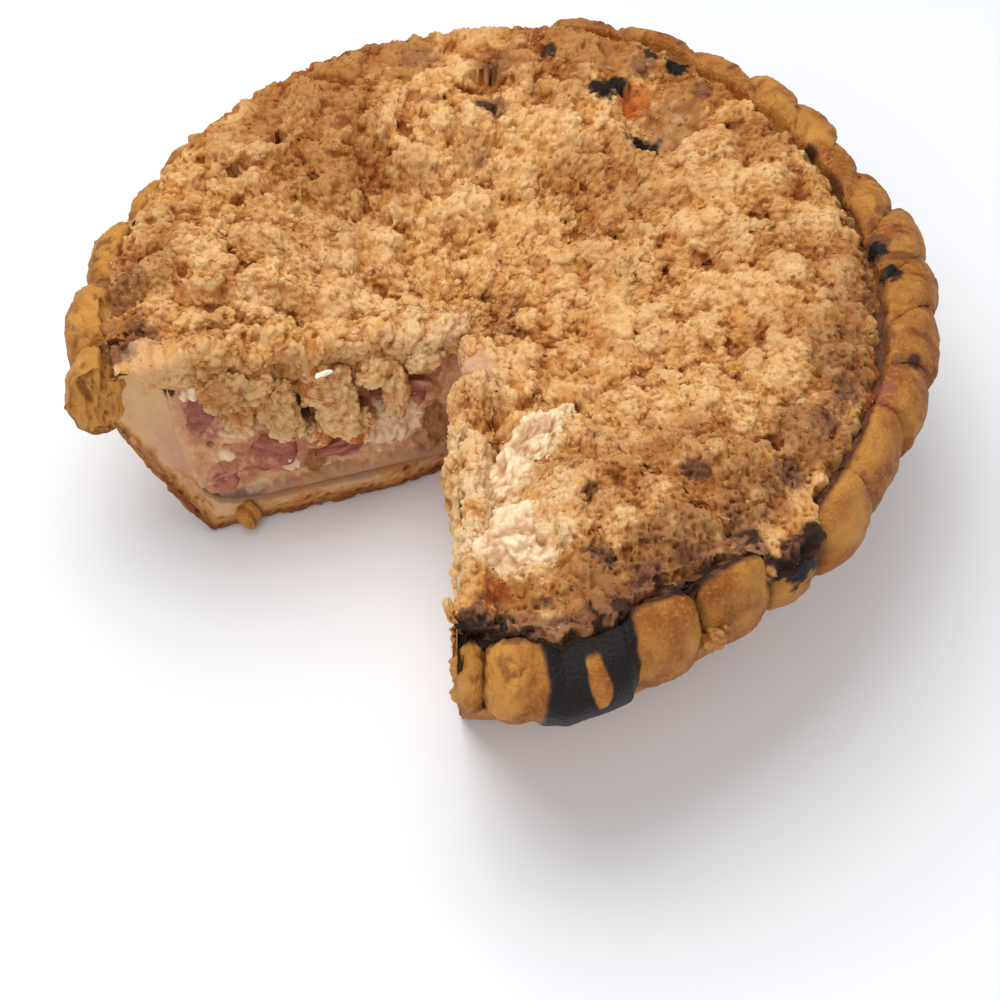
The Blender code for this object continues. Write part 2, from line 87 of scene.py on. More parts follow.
# Pan section: matching points of the inner and the outer surface, as radius and height
PAN_INNER = [
    (10, 7.5), (70, 7.5), (80, 8.6), (84.5, 10), (88.5, 15), (91.4, 24), (93.5, 44), (94.2, 61),
    (96.5, 69.5), (101.5, 75.2),
]
PAN_OUTER = [
    (10, 0), (74, 0), (84, 0), (89, 0), (93, 7), (98, 19), (105.8, 43), (109.5, 56), (112.0, 66),
    (106.0, 75.6),
]

# Filling: height of its top in the middle and at the edge, and its foot, where the floor turns up
FILL_MIDDLE = 53.0
FILL_EDGE = 65.0
FILL_FOOT_RADII = [76, 84.2, 88.1, 91.0, 93.05, 93.6]
FILL_FOOT_HEIGHTS = [7.85, 10.4, 15.3, 24.1, 44.0, 61.0]

# Missing slice: its apex, and the headings of its two faces in degrees
APEX = np.array([-9.7, 1.4])
LEFT_FACE_ANGLE = 196.3
FRONT_FACE_ANGLE = 270.0

# Topping: height in the middle, on the ring and of the crust under it, width of its rounded edge, mean
# height of the lumps, height of the mounds, how far it is sunk under the lips, its reach for the spacing
# of points, and its outer edge as angle and radius
CRUMB_MIDDLE = 65.0
CRUMB_RING = 81.0
CRUMB_SEAT = 78.0
EDGE_WIDTH = 9.0
LUMP_MEAN = 3.2
MOUND_HEIGHT = 3.2
LIP_SINK = 3.5
TOPPING_ARC, TOPPING_REACH = 105.0, 108.0
CRUMB_EDGE = np.array([
    (-94, 100), (-80, 99), (-70, 98), (-60, 99), (-48, 101), (-30, 101), (-15, 102), (0, 102), (20, 103),
    (40, 105), (55, 107), (66, 110), (80, 109), (95, 107), (115, 107), (140, 106), (155, 105), (170, 106),
    (185, 105), (197, 106),
])

# Larger features of the topping: middle x and y, reach along x and y, and rise or fall
FEATURES = [
    (48, 80, 11, 9, -13), (36, 95, 6, 8, -5), (31, 110, 17, 11, 7), (-5, 92, 7, 11, -6),
    (-77, 50, 5, 5, -7), (-66, 63, 4, 5, -6), (-62, 8, 13, 12, 5), (-7, 72, 11, 9, 4),
    (-30, 100, 34, 13, -4), (74, 34, 14, 14, 3), (84, -8, 12, 16, 3), (60, -60, 14, 12, 3),
    (42, -78, 14, 10, 3), (-88, 18, 12, 16, 3), (-76, 76, 17, 17, -4), (20, 40, 20, 18, -2),
    (-30, -6, 12, 8, 4), (26, -20, 14, 12, 2), (28, -62, 9, 8, 4), (64, 58, 10, 9, 3),
    (6, -44, 9, 12, -3), (3, -78, 13, 14, -4),
]

# Pale custard where crumbs came away: middle, half sizes along x, y and z, and turn in degrees
TORN = [((8.5, -45.5, 61.0), (7.5, 24.5, 11.5), -29.0), ((5.5, -79.0, 64.5), (15.0, 15.0, 13.0), 10.0)]

# Crumbs that hang over a face: distance from the apex, height, stand-off, and half sizes along, out, up
LEFT_CRUMBS = [
    (69, 62, 3.0, 7.5, 4.0, 8.0), (66, 52, 3.4, 5.2, 3.2, 9.5), (60, 60, 3.0, 6.0, 3.6, 7.0),
    (55, 52, 4.2, 6.2, 4.2, 10.5), (53, 44, 4.6, 4.8, 3.8, 6.5), (41, 56, 3.6, 7.5, 4.2, 9.0),
    (38, 45, 4.8, 7.4, 4.6, 9.5), (33, 37, 4.2, 5.4, 3.8, 8.0), (44, 38, 3.4, 3.6, 3.0, 5.5),
    (26, 57, 3.2, 6.0, 3.6, 6.0), (21, 48, 3.8, 4.4, 3.6, 12.0), (12, 57, 2.8, 5.5, 3.2, 6.0),
]
FRONT_CRUMBS = [
    (24, 58, 0.2, 6.5, 3.6, 8.5), (34, 55, 0.0, 7.0, 3.6, 9.5), (45, 51, 0.4, 8.0, 4.2, 11.0),
    (53, 56, -0.4, 6.5, 4.2, 9.0), (63, 59, -1.4, 6.5, 3.6, 8.5), (74, 61, -2.2, 7.5, 3.8, 10.0),
    (85, 68, -1.6, 5.0, 3.0, 6.5),
]

# Rhubarb at the faces: face, distance from the apex, height, depth behind the face, half sizes along
# the face, into the pie and up, and lean in degrees
RHUBARB = [
    ("left", 56.5, 27.0, 6.0, 9.0, 10.0, 10.0, 18.0),
    ("left", 72.6, 19.5, 5.0, 5.4, 9.0, 6.0, -14.0),
    ("left", 77.0, 51.5, 5.0, 4.4, 9.0, 11.0, 12.0),
    ("left", 38.0, 22.5, 4.0, 8.5, 8.0, 4.2, -10.0),
    ("left", 17.5, 41.5, 5.0, 11.0, 9.0, 6.8, 28.0),
    ("front", 11.0, 62.0, 3.5, 7.0, 8.0, 6.0, 12.0),
    ("front", 24.0, 28.0, 5.0, 9.5, 10.0, 8.0, -20.0),
    ("front", 47.0, 34.0, 6.0, 12.0, 10.0, 8.5, 15.0),
    ("front", 66.0, 20.5, 5.0, 10.0, 9.0, 6.5, 8.0),
    ("front", 79.0, 46.0, 5.0, 6.0, 9.0, 10.0, -12.0),
]

# The broken piece at the top of the front face: its number, and how far it lies off the solid
PALE_PIECE = 6
PALE_SHIFT = (2.2, -1.5, -1.2)


def smooth(low, high, x):
    """Ease from 0 to 1 as x goes from low to high: 3t^2 - 2t^3."""
    t = np.clip((x - low) / (high - low), 0, 1)
    return t * t * (3 - 2 * t)


def scatter(i, j, seed):
    """Repeatable numbers from 0 to 1 for whole-number cells, as the fraction of a large sine."""
    value = np.sin(i * 127.1 + j * 311.7 + seed * 74.7) * 43758.5453
    return value - np.floor(value)


def lumps(x, y, pitch, reach, seed):
    """Domes on a jittered grid, one in each cell: the highest of size * sqrt(1 - (distance / reach)^2)."""
    column, row = np.floor(x / pitch), np.floor(y / pitch)
    best = np.zeros_like(x)
    for di in (-1, 0, 1):
        for dj in (-1, 0, 1):
            i, j = column + di, row + dj
            size = 0.55 + 0.45 * scatter(i, j, seed)
            dx = x - (i + 0.2 + 0.6 * scatter(i, j, seed + 1)) * pitch
            dy = y - (j + 0.2 + 0.6 * scatter(i, j, seed + 2)) * pitch
            dome = size * np.sqrt(np.clip(1 - (dx * dx + dy * dy) / (reach * size) ** 2, 0, 1))
            best = np.maximum(best, dome)
    return best


def ripple(u, v, wave, seed):
    """Soft unevenness from -1 to 1: the mean of six plane waves with seeded headings and phases."""
    total = 0
    for k in range(6):
        heading = 2 * math.pi * scatter(k, 1, seed)
        phase = 2 * math.pi * scatter(k, 2, seed)
        pace = 2 * math.pi / (wave * (0.7 + 0.8 * scatter(k, 3, seed)))
        total = total + np.sin(pace * (u * math.cos(heading) + v * math.sin(heading)) + phase)
    return total / 3.5


def cell_number(i, j, k, seed):
    """Repeatable numbers from 0 to 1 for the cells of a lattice, by mixing the bits of whole numbers."""
    n = (i * 73856093) ^ (j * 19349663) ^ (k * 83492791) ^ (seed * 40503 + 977)
    n = n & 0xFFFFFFFF
    n = ((n ^ (n >> 15)) * 739982445) & 0xFFFFFFFF
    n = ((n ^ (n >> 13)) * 695872825) & 0xFFFFFFFF
    return (n ^ (n >> 16)) / 4294967295.0


def noise(points, wave, seed):
    """Smooth values from -1 to 1: random numbers at the corners of cubes, blended by an ease."""
    place = points / wave
    cell = np.floor(place).astype(np.int64)
    t = place - cell
    t = t * t * (3 - 2 * t)
    total = 0
    for di, dj, dk in np.ndindex(2, 2, 2):
        weight = 1
        for axis, step in enumerate((di, dj, dk)):
            weight = weight * (t[..., axis] if step else 1 - t[..., axis])
        total = total + weight * cell_number(cell[..., 0] + di, cell[..., 1] + dj, cell[..., 2] + dk, seed)
    return 2 * total - 1


def rough(points, wave, seed, octaves=3):
    """Sum of noises, each half as wide and half as strong as the one before."""
    total, strength, sum_strength = 0, 1.0, 0.0
    for octave in range(octaves):
        total = total + strength * noise(points, wave / 2**octave, seed + 7 * octave)
        sum_strength += strength
        strength *= 0.5
    return total / sum_strength


def drift(points, wave, seed):
    """Three noises side by side: a vector that bends straight patterns."""
    return np.stack([noise(points, wave, seed + 101 * axis) for axis in range(3)], -1)


def grains(points, pitch, seed, fill=0.82):
    """Balls on a jittered lattice, one in each cell: the highest size * sqrt(1 - (distance / reach)^2),
    and a random number that is the same all over one ball."""
    place = points / pitch
    cell = np.floor(place).astype(np.int64)
    best = np.zeros(place.shape[:-1])
    tint = np.full(place.shape[:-1], 0.5)
    for di, dj, dk in np.ndindex(3, 3, 3):
        i, j, k = cell[..., 0] + di - 1, cell[..., 1] + dj - 1, cell[..., 2] + dk - 1
        size = 0.55 + 0.45 * cell_number(i, j, k, seed)
        away = 0
        for axis, index in enumerate((i, j, k)):
            middle = index + 0.15 + 0.7 * cell_number(i, j, k, seed + 1 + axis)
            away = away + (place[..., axis] - middle) ** 2
        dome = size * np.sqrt(np.clip(1 - away / (fill * size) ** 2, 0, 1))
        higher = dome > best
        best = np.where(higher, dome, best)
        tint = np.where(higher, cell_number(i, j, k, seed + 9), tint)
    return best, tint


def polar(x, y):
    """Distance from the pie's axis, and angle round it in degrees."""
    return np.hypot(x, y), np.degrees(np.arctan2(y, x))


def crimp(angle):
    """Reach, height and swell (0 in a groove, 1 on a crimp) of the rim at angles in degrees."""
    starts = CRIMPS[:, 0]
    angle = (angle - starts[0]) % 360 + starts[0]
    index = np.clip(np.searchsorted(starts, angle, side="right") - 1, 0, len(CRIMPS) - 1)
    after = np.append(starts[1:], starts[0] + 360)[index]
    share = (angle - starts[index]) / (after - starts[index])
    swell = np.clip(4 * share * (1 - share), 0, 1) ** 0.55
    return CRIMPS[index, 1], CRIMPS[index, 2], swell


def fill_top(radius):
    """Height of the custard: level in the middle, rising to the crust."""
    return FILL_MIDDLE + (FILL_EDGE - FILL_MIDDLE) * smooth(48, 92, radius)


def crumb_edge(angle):
    """Outer radius of the topping at angles in degrees."""
    angle = (angle - CRUMB_EDGE[0, 0]) % 360 + CRUMB_EDGE[0, 0]
    return np.interp(angle, CRUMB_EDGE[:, 0], CRUMB_EDGE[:, 1])


def crumb_lumps(x, y):
    """Clumps of two sizes."""
    return 4.2 * lumps(x, y, 12.5, 9.5, 3) + 2.2 * lumps(x, y, 6.6, 4.6, 11)


def with_bumps(height, x, y, rows):
    """The height with rows of bumps added: change * exp(-1.2 * (distance in reaches)^2)."""
    for middle_x, middle_y, reach_x, reach_y, change in rows:
        away = ((x - middle_x) / reach_x) ** 2 + ((y - middle_y) / reach_y) ** 2
        height = height + change * np.exp(-away * 1.2)
    return height


def crumb_top(x, y):
    """Height of the topping: a dish and a ring, named features, and lumps of two sizes."""
    radius, angle = polar(x, y)
    height = CRUMB_MIDDLE + (CRUMB_RING - CRUMB_MIDDLE) * smooth(14, 90, radius) ** 1.2
    height = with_bumps(height, x, y, FEATURES) + crumb_lumps(x, y) - LUMP_MEAN
    edge = crumb_edge(angle) + 1.6 * ripple(x, y, 9, 5)
    inset = np.clip((radius - edge + EDGE_WIDTH) / EDGE_WIDTH, 0, 1)
    rounded = CRUMB_SEAT + 0.5 + (height - CRUMB_SEAT - 0.5) * np.sqrt(1 - inset**2)
    height = np.where(inset > 0, np.minimum(height, np.maximum(rounded, CRUMB_SEAT + 0.5)), height)
    return np.minimum(height, np.maximum(CRUMB_SEAT + 2 * (edge - radius), CRUMB_SEAT - 8))


def face_turn(face):
    """Angle of a face in degrees."""
    return LEFT_FACE_ANGLE if face == "left" else FRONT_FACE_ANGLE


def face_frame(face):
    """Direction along a face and direction out of it, into the missing slice."""
    angle = math.radians(face_turn(face))
    along = np.array([math.cos(angle), math.sin(angle)])
    if face == "left":
        return along, np.array([-along[1], along[0]])
    return along, np.array([along[1], -along[0]])


def on_face(face, distance, height, out):
    """Points beside a face: distance from the apex, height, and stand-off into the missing slice."""
    along, outward = face_frame(face)
    distance, height, out = np.broadcast_arrays(distance, height, out)
    flat = APEX + distance[..., None] * along + out[..., None] * outward
    return np.concatenate([flat, height[..., None]], -1)


def face_distance(face, radius):
    """Distance from the apex along a face to the circle of a radius about the pie's axis."""
    along = face_frame(face)[0]
    lean = APEX @ along
    return -lean + np.sqrt(np.maximum(lean**2 + radius**2 - APEX @ APEX, 0))


def hold_back(points, face, limit, where=True):
    """Move points that stand out of a face by more than a limit back to it."""
    outward = face_frame(face)[1]
    beyond = np.maximum((points[..., :2] - APEX) @ outward - limit, 0) * where
    points[..., :2] -= beyond[..., None] * outward


def face_angle(face, radius):
    """Angle about the pie's axis, in degrees, at which a face meets the circle of a radius."""
    flat = on_face(face, face_distance(face, radius), 0.0, 0.0)
    angle = polar(flat[..., 0], flat[..., 1])[1]
    return np.where(angle < -120, angle + 360, angle) if face == "left" else angle


def unit(vectors):
    """Vectors brought to length 1."""
    return vectors / np.maximum(np.linalg.norm(vectors, axis=-1, keepdims=True), 1e-9)


def normals(grid):
    """Unit normals of a grid of points: its first direction crossed with its second."""
    return unit(np.cross(np.gradient(grid, axis=0), np.gradient(grid, axis=1)))


def cells(rows, columns, wrap=False):
    """Four corners of every cell of a grid of points; wrap closes the second direction."""
    i = np.arange(rows - 1)[:, None]
    j = np.arange(columns if wrap else columns - 1)[None, :]
    after = (j + 1) % columns
    corners = [i * columns + j, (i + 1) * columns + j, (i + 1) * columns + after, i * columns + after]
    return np.stack(np.broadcast_arrays(*corners), -1).reshape(-1, 4)


def end_loops(rows, columns):
    """First and last loop of a tube as polygons."""
    return [np.arange(columns)[::-1], np.arange(columns) + (rows - 1) * columns]


def add_mesh(name, points, faces, masks, material, polygons=()):
    """Mesh object from points, four-cornered faces and masks. Points at one place are merged, a face with a
    merged edge becomes a triangle, and polygons are further faces with any number of corners."""
    _, first, back = np.unique(np.round(points, 3), axis=0, return_index=True, return_inverse=True)
    faces = back.reshape(-1)[faces]
    same = faces == np.roll(faces, -1, axis=1)
    quads = faces[~same.any(1)]
    once = faces[same.sum(1) == 1]
    keep = ~same[same.sum(1) == 1]
    triangles = once[keep].reshape(-1, 3)
    loops = [quads.ravel(), triangles.ravel()]
    sizes = [np.full(len(quads), 4), np.full(len(triangles), 3)]
    for polygon in polygons:
        corners = back.reshape(-1)[polygon]
        loops.append(corners[corners != np.roll(corners, -1)])
        sizes.append(np.array([len(loops[-1])]))
    loops, sizes = np.concatenate(loops), np.concatenate(sizes)
    mesh = bpy.data.meshes.new(name)
    mesh.vertices.add(len(first))
    mesh.vertices.foreach_set("co", (points[first] * MM).astype(np.float32).ravel())
    mesh.loops.add(len(loops))
    mesh.loops.foreach_set("vertex_index", loops.astype(np.int32))
    mesh.polygons.add(len(sizes))
    mesh.polygons.foreach_set("loop_start", np.concatenate([[0], np.cumsum(sizes)[:-1]]).astype(np.int32))
    mesh.update(calc_edges=True)
    for mask, values in masks.items():
        layer = mesh.attributes.new(mask, "FLOAT", "POINT")
        layer.data.foreach_set("value", np.broadcast_to(values, len(points))[first].astype(np.float32))
    mesh.shade_smooth()
    mesh.materials.append(material)
    obj = bpy.data.objects.new(name, mesh)
    bpy.context.scene.collection.objects.link(obj)
    return obj


def dress(obj, slot, *nodes):
    """The piece rides on the pie and stands for solids, which it hides. slot is not used."""
    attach(obj, "root")
    if nodes:
        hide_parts(*nodes)
    return obj


def full_masks(names, like, **given):
    """The masks that a material reads: the given ones, and 0 for the rest."""
    return {name: given.get(name, np.zeros(like.shape)) for name in names}


def flat_masks(masks, shape):
    """Masks of a grid as flat arrays."""
    return {name: np.broadcast_to(value, shape).ravel() for name, value in masks.items()}


# Colours and materials

# Attributes that a material reads
CRUMB_MASKS = ("height", "tint", "toast", "mauve", "char", "orange", "cream")
SKIN_MASKS = ("bake", "groove", "pink", "mauve", "char")
CUSTARD_MASKS = ("pink", "grey", "glass", "cream", "char")


def srgb(red, green, blue):
    """Linear colour from the 0 to 255 values of a screen colour."""
    screen = np.array([red, green, blue]) / 255
    linear = np.where(screen <= 0.04045, screen / 12.92, ((screen + 0.055) / 1.055) ** 2.4)
    return (*linear.tolist(), 1.0)


def new_material(name, **values):
    """Material with one Principled shader, whose plain values are set on its own sockets."""
    material = bpy.data.materials.new(name)
    material.use_nodes = True
    shader = material.node_tree.nodes["Principled BSDF"]
    for socket, value in values.items():
        shader.inputs[socket.replace("_", " ")].default_value = value
    return material, material.node_tree, shader


def feed(tree, socket, value):
    """Link an output to a socket, or set the socket's value."""
    if isinstance(value, bpy.types.NodeSocket):
        tree.links.new(value, socket)
    else:
        socket.default_value = value


def mask(tree, name):
    """Value of an attribute."""
    node = tree.nodes.new("ShaderNodeAttribute")
    node.attribute_name = name
    return node.outputs["Fac"]


def blend(tree, factor, first, second, how="MIX"):
    """Mix of two colours."""
    node = tree.nodes.new("ShaderNodeMix")
    node.data_type = "RGBA"
    node.blend_type = how
    node.clamp_factor = True
    feed(tree, node.inputs[0], factor)
    feed(tree, node.inputs[6], first)
    feed(tree, node.inputs[7], second)
    return node.outputs[2]


def work(tree, operation, first, second):
    """Arithmetic on two values, kept between 0 and 1."""
    node = tree.nodes.new("ShaderNodeMath")
    node.operation = operation
    node.use_clamp = True
    feed(tree, node.inputs[0], first)
    feed(tree, node.inputs[1], second)
    return node.outputs[0]


def remap(tree, value, low, high, start=0.0, end=1.0):
    """Value carried from one range to another, without going past its ends."""
    node = tree.nodes.new("ShaderNodeMapRange")
    feed(tree, node.inputs["Value"], value)
    for socket, number in (("From Min", low), ("From Max", high), ("To Min", start), ("To Max", end)):
        node.inputs[socket].default_value = number
    return node.outputs["Result"]


def paint(tree, colour, **layers):
    """The colour with a layer of its own laid over it for each attribute, as strong as the attribute."""
    for name, value in layers.items():
        colour = blend(tree, mask(tree, name), colour, srgb(*value))
    return colour


def bump(tree, shader, height, distance, strength):
    """Bump of a height given from 0 to 1, over a distance in millimetres."""
    node = tree.nodes.new("ShaderNodeBump")
    node.inputs["Strength"].default_value = strength
    node.inputs["Distance"].default_value = distance * MM
    tree.links.new(height, node.inputs["Height"])
    tree.links.new(node.outputs["Normal"], shader.inputs["Normal"])


def grain_group():
    """Node group: uneven specks at a size, and coarser patches eight times as large, both from 0 to 1."""
    group = bpy.data.node_groups.new("baked_grain", "ShaderNodeTree")
    group.interface.new_socket(name="Specks per metre", in_out="INPUT", socket_type="NodeSocketFloat")
    for name in ("Specks", "Patches"):
        group.interface.new_socket(name=name, in_out="OUTPUT", socket_type="NodeSocketFloat")
    given = group.nodes.new("NodeGroupInput")
    result = group.nodes.new("NodeGroupOutput")
    place = group.nodes.new("ShaderNodeTexCoord")
    for name, share, detail in (("Specks", 1.0, 3.0), ("Patches", 0.125, 4.0)):
        scale = group.nodes.new("ShaderNodeMath")
        scale.operation = "MULTIPLY"
        scale.inputs[1].default_value = share
        group.links.new(given.outputs[0], scale.inputs[0])
        texture = group.nodes.new("ShaderNodeTexNoise")
        texture.inputs["Detail"].default_value = detail
        texture.inputs["Roughness"].default_value = 0.6
        group.links.new(place.outputs["Object"], texture.inputs["Vector"])
        group.links.new(scale.outputs[0], texture.inputs["Scale"])
        spread = group.nodes.new("ShaderNodeMapRange")
        spread.inputs["From Min"].default_value = 0.32
        spread.inputs["From Max"].default_value = 0.68
        group.links.new(texture.outputs["Fac"], spread.inputs["Value"])
        group.links.new(spread.outputs["Result"], result.inputs[name])
    return group


GRAIN = grain_group()


def grain(tree, specks):
    """The grain group in a material: its specks and its patches."""
    node = tree.nodes.new("ShaderNodeGroup")
    node.node_tree = GRAIN
    node.inputs[0].default_value = specks
    return node.outputs["Specks"], node.outputs["Patches"]


def crumb_material():
    """Streusel: darker orange crevices, partly painted shade, golden to pale grains, toasted patches, burnt
    patches and painted shade in holes and gaps, cream where it is soft.
    """
    material, tree, shader = new_material(
        "streusel", Roughness=0.75, Specular_IOR_Level=0.25, Subsurface_Weight=0.22, Subsurface_Scale=0.0016,
        Subsurface_Radius=(1.0, 0.5, 0.22),
    )
    specks, patches = grain(tree, 1700.0)
    height = mask(tree, "height")
    # Colour follows the height mask: dark orange low in crevices and between mounds, pale on the tops, partly
    # the crumbs' own tone and partly painted shade
    colour = blend(tree, remap(tree, height, 0.04, 0.42), srgb(152, 80, 28), srgb(212, 153, 82))
    colour = blend(tree, remap(tree, height, 0.42, 0.95), colour, srgb(234, 197, 137))
    colour = blend(tree, remap(tree, mask(tree, "tint"), 0.5, 0.9, 0.0, 0.6), colour, srgb(243, 212, 156))
    colour = blend(tree, remap(tree, mask(tree, "tint"), 0.1, 0.38, 0.55, 0.0), colour, srgb(206, 138, 60))
    colour = blend(tree, work(tree, "MULTIPLY", patches, 0.25), colour, srgb(216, 150, 78))
    colour = paint(tree, colour, orange=(188, 98, 26))
    colour = blend(tree, mask(tree, "toast"), colour, srgb(204, 181, 150), "MULTIPLY")
    # Juice stains are darker where the crumbs lie low: painted shade
    juice = blend(tree, remap(tree, height, 0.2, 0.8), srgb(82, 48, 34), srgb(146, 98, 68))
    colour = blend(tree, mask(tree, "mauve"), colour, juice)
    # Cream is darkened low down as well, so the painted shade in the crevices stays under it
    soft = work(tree, "MULTIPLY", mask(tree, "cream"), remap(tree, height, 0.1, 0.5, 0.3, 1.0))
    colour = blend(tree, soft, colour, srgb(240, 213, 168))
    # Black for burnt spots, and painted shade in holes and in the gap at the crust
    colour = paint(tree, colour, char=(32, 20, 17))
    colour = blend(tree, remap(tree, specks, 0.0, 0.9, 0.3, 0.0), colour, srgb(196, 130, 66), "MULTIPLY")
    tree.links.new(colour, shader.inputs["Base Color"])
    bump(tree, shader, specks, 0.3, 0.6)
    return material


def crust_material():
    """Baked crust: golden skin, browner ridges, painted shade in grooves, hollows and the gap under the
    crumbs, blisters, burnt and pink juice.
    """
    material, tree, shader = new_material("baked_skin", Specular_IOR_Level=0.22)
    specks, patches = grain(tree, 900.0)
    colour = blend(tree, mask(tree, "bake"), srgb(204, 145, 66), srgb(148, 80, 24))
    colour = blend(tree, work(tree, "MULTIPLY", patches, 0.6), colour, srgb(164, 100, 36))
    colour = blend(tree, remap(tree, specks, 0.5, 1.0, 0.0, 0.35), colour, srgb(214, 161, 84))
    # Dark brown groove mask: browning on raised creases and in patches, and painted shade in grooves, sunk
    # folds, hollows and the gap under the crumbs
    colour = paint(tree, colour, groove=(96, 50, 22), mauve=(104, 64, 46), pink=(150, 80, 62))
    colour = paint(tree, colour, char=(27, 18, 18))
    tree.links.new(colour, shader.inputs["Base Color"])
    juice = work(tree, "MAXIMUM", mask(tree, "char"), mask(tree, "pink"))
    tree.links.new(remap(tree, juice, 0.0, 1.0, 0.58, 0.46), shader.inputs["Roughness"])
    bump(tree, shader, specks, 0.35, 0.9)
    return material


def dough_material():
    """Cut crust: beige dough, golden to dark skin, and a grey soggy layer beside the filling."""
    material, tree, shader = new_material(
        "cut_dough", Roughness=0.62, Specular_IOR_Level=0.3, Subsurface_Weight=0.15, Subsurface_Scale=0.002,
        Subsurface_Radius=(1.0, 0.6, 0.4),
    )
    specks, patches = grain(tree, 1300.0)
    colour = blend(tree, work(tree, "MULTIPLY", patches, 0.5), srgb(214, 174, 126), srgb(198, 152, 102))
    colour = paint(tree, colour, pink=(196, 144, 116), soggy=(166, 128, 98))
    colour = blend(tree, remap(tree, mask(tree, "bake"), 0.0, 0.5), colour, srgb(190, 130, 72))
    colour = blend(tree, remap(tree, mask(tree, "bake"), 0.5, 1.0), colour, srgb(128, 72, 30))
    # Dark pores in the baked skin: painted shade
    colour = paint(tree, colour, pit=(76, 38, 16))
    tree.links.new(colour, shader.inputs["Base Color"])
    bump(tree, shader, specks, 0.2, 0.45)
    return material


def custard_material():
    """Baked custard: beige with pink juice, grey and glassy brown layers, pale curds, glassy brown painted
    shade in hollows, and holes painted dark as shade.
    """
    material, tree, shader = new_material(
        "custard", Specular_IOR_Level=0.45, Subsurface_Weight=0.3, Subsurface_Scale=0.0025,
        Subsurface_Radius=(1.0, 0.55, 0.4),
    )
    patches = grain(tree, 900.0)[1]
    colour = blend(tree, work(tree, "MULTIPLY", patches, 0.6), srgb(214, 166, 118), srgb(194, 138, 94))
    # Glassy brown: glassy pockets on the faces, and painted shade in the hollows of the torn curd
    colour = paint(tree, colour, pink=(172, 98, 70), grey=(120, 88, 68), glass=(160, 106, 54))
    # Cream curds, and near black in the holes as painted shade
    colour = paint(tree, colour, cream=(246, 220, 182), char=(52, 26, 14))
    tree.links.new(colour, shader.inputs["Base Color"])
    tree.links.new(remap(tree, mask(tree, "glass"), 0.0, 1.0, 0.45, 0.18), shader.inputs["Roughness"])
    bump(tree, shader, patches, 0.4, 0.5)
    return material


def rhubarb_material():
    """Baked rhubarb: dusky pink flesh with paler and darker fibres."""
    material, tree, shader = new_material(
        "rhubarb", Roughness=0.4, Specular_IOR_Level=0.45, Subsurface_Weight=0.25, Subsurface_Scale=0.002,
        Subsurface_Radius=(1.0, 0.4, 0.35),
    )
    specks, patches = grain(tree, 1000.0)
    colour = blend(tree, mask(tree, "fibre"), srgb(124, 56, 38), srgb(190, 116, 88))
    colour = blend(tree, work(tree, "MULTIPLY", patches, 0.4), colour, srgb(156, 82, 58))
    colour = paint(tree, colour, cream=(206, 160, 122))
    tree.links.new(colour, shader.inputs["Base Color"])
    bump(tree, shader, specks, 0.3, 0.6)
    return material


def sugar_material():
    """Coarse sugar grains."""
    material, tree, shader = new_material("sugar", Roughness=0.18, Specular_IOR_Level=0.6)
    colour = blend(tree, grain(tree, 2500.0)[0], srgb(250, 244, 232), srgb(238, 222, 196))
    tree.links.new(colour, shader.inputs["Base Color"])
    return material


CRUMBS = crumb_material()
SKIN = crust_material()
DOUGH = dough_material()
CUSTARD = custard_material()
FLESH = rhubarb_material()
SUGAR = sugar_material()


# Stains of the crumbs: each row is x, y, z, reach in millimetres and strength
TOAST = [
    (6, -98, 80, 9, 1.0), (22, -96, 80, 13, 1.0), (40, -88, 82, 13, 0.9), (52, -74, 82, 14, 0.8),
    (66, -62, 82, 13, 0.7), (80, -50, 82, 13, 0.8), (92, -32, 82, 13, 0.7), (98, -8, 82, 10, 0.6),
    (34, -66, 80, 10, 0.6), (44, -54, 78, 7, 0.6), (-98, 8, 82, 10, 0.5), (-103, -12, 82, 12, 0.8),
    (-82, 60, 82, 10, 0.5), (-60, 86, 80, 14, 0.9), (-30, 98, 80, 16, 1.0), (0, 92, 80, 12, 0.7),
    (-46, 76, 78, 14, 0.6), (-56, 44, 76, 34, 0.35), (20, 84, 80, 12, 0.6), (-70, 66, 80, 10, 0.7),
    (96, 10, 82, 12, 0.5), (60, 84, 82, 14, 0.9), (-6, 60, 78, 8, 0.7), (40, 96, 80, 14, 0.9),
    (78, 62, 82, 12, 0.7), (22, 100, 80, 12, 0.8), (90, 40, 82, 10, 0.5), (-50, 92, 80, 14, 0.8),
    (-80, 44, 76, 5, 0.8), (26, -72, 80, 7, 0.5),
]
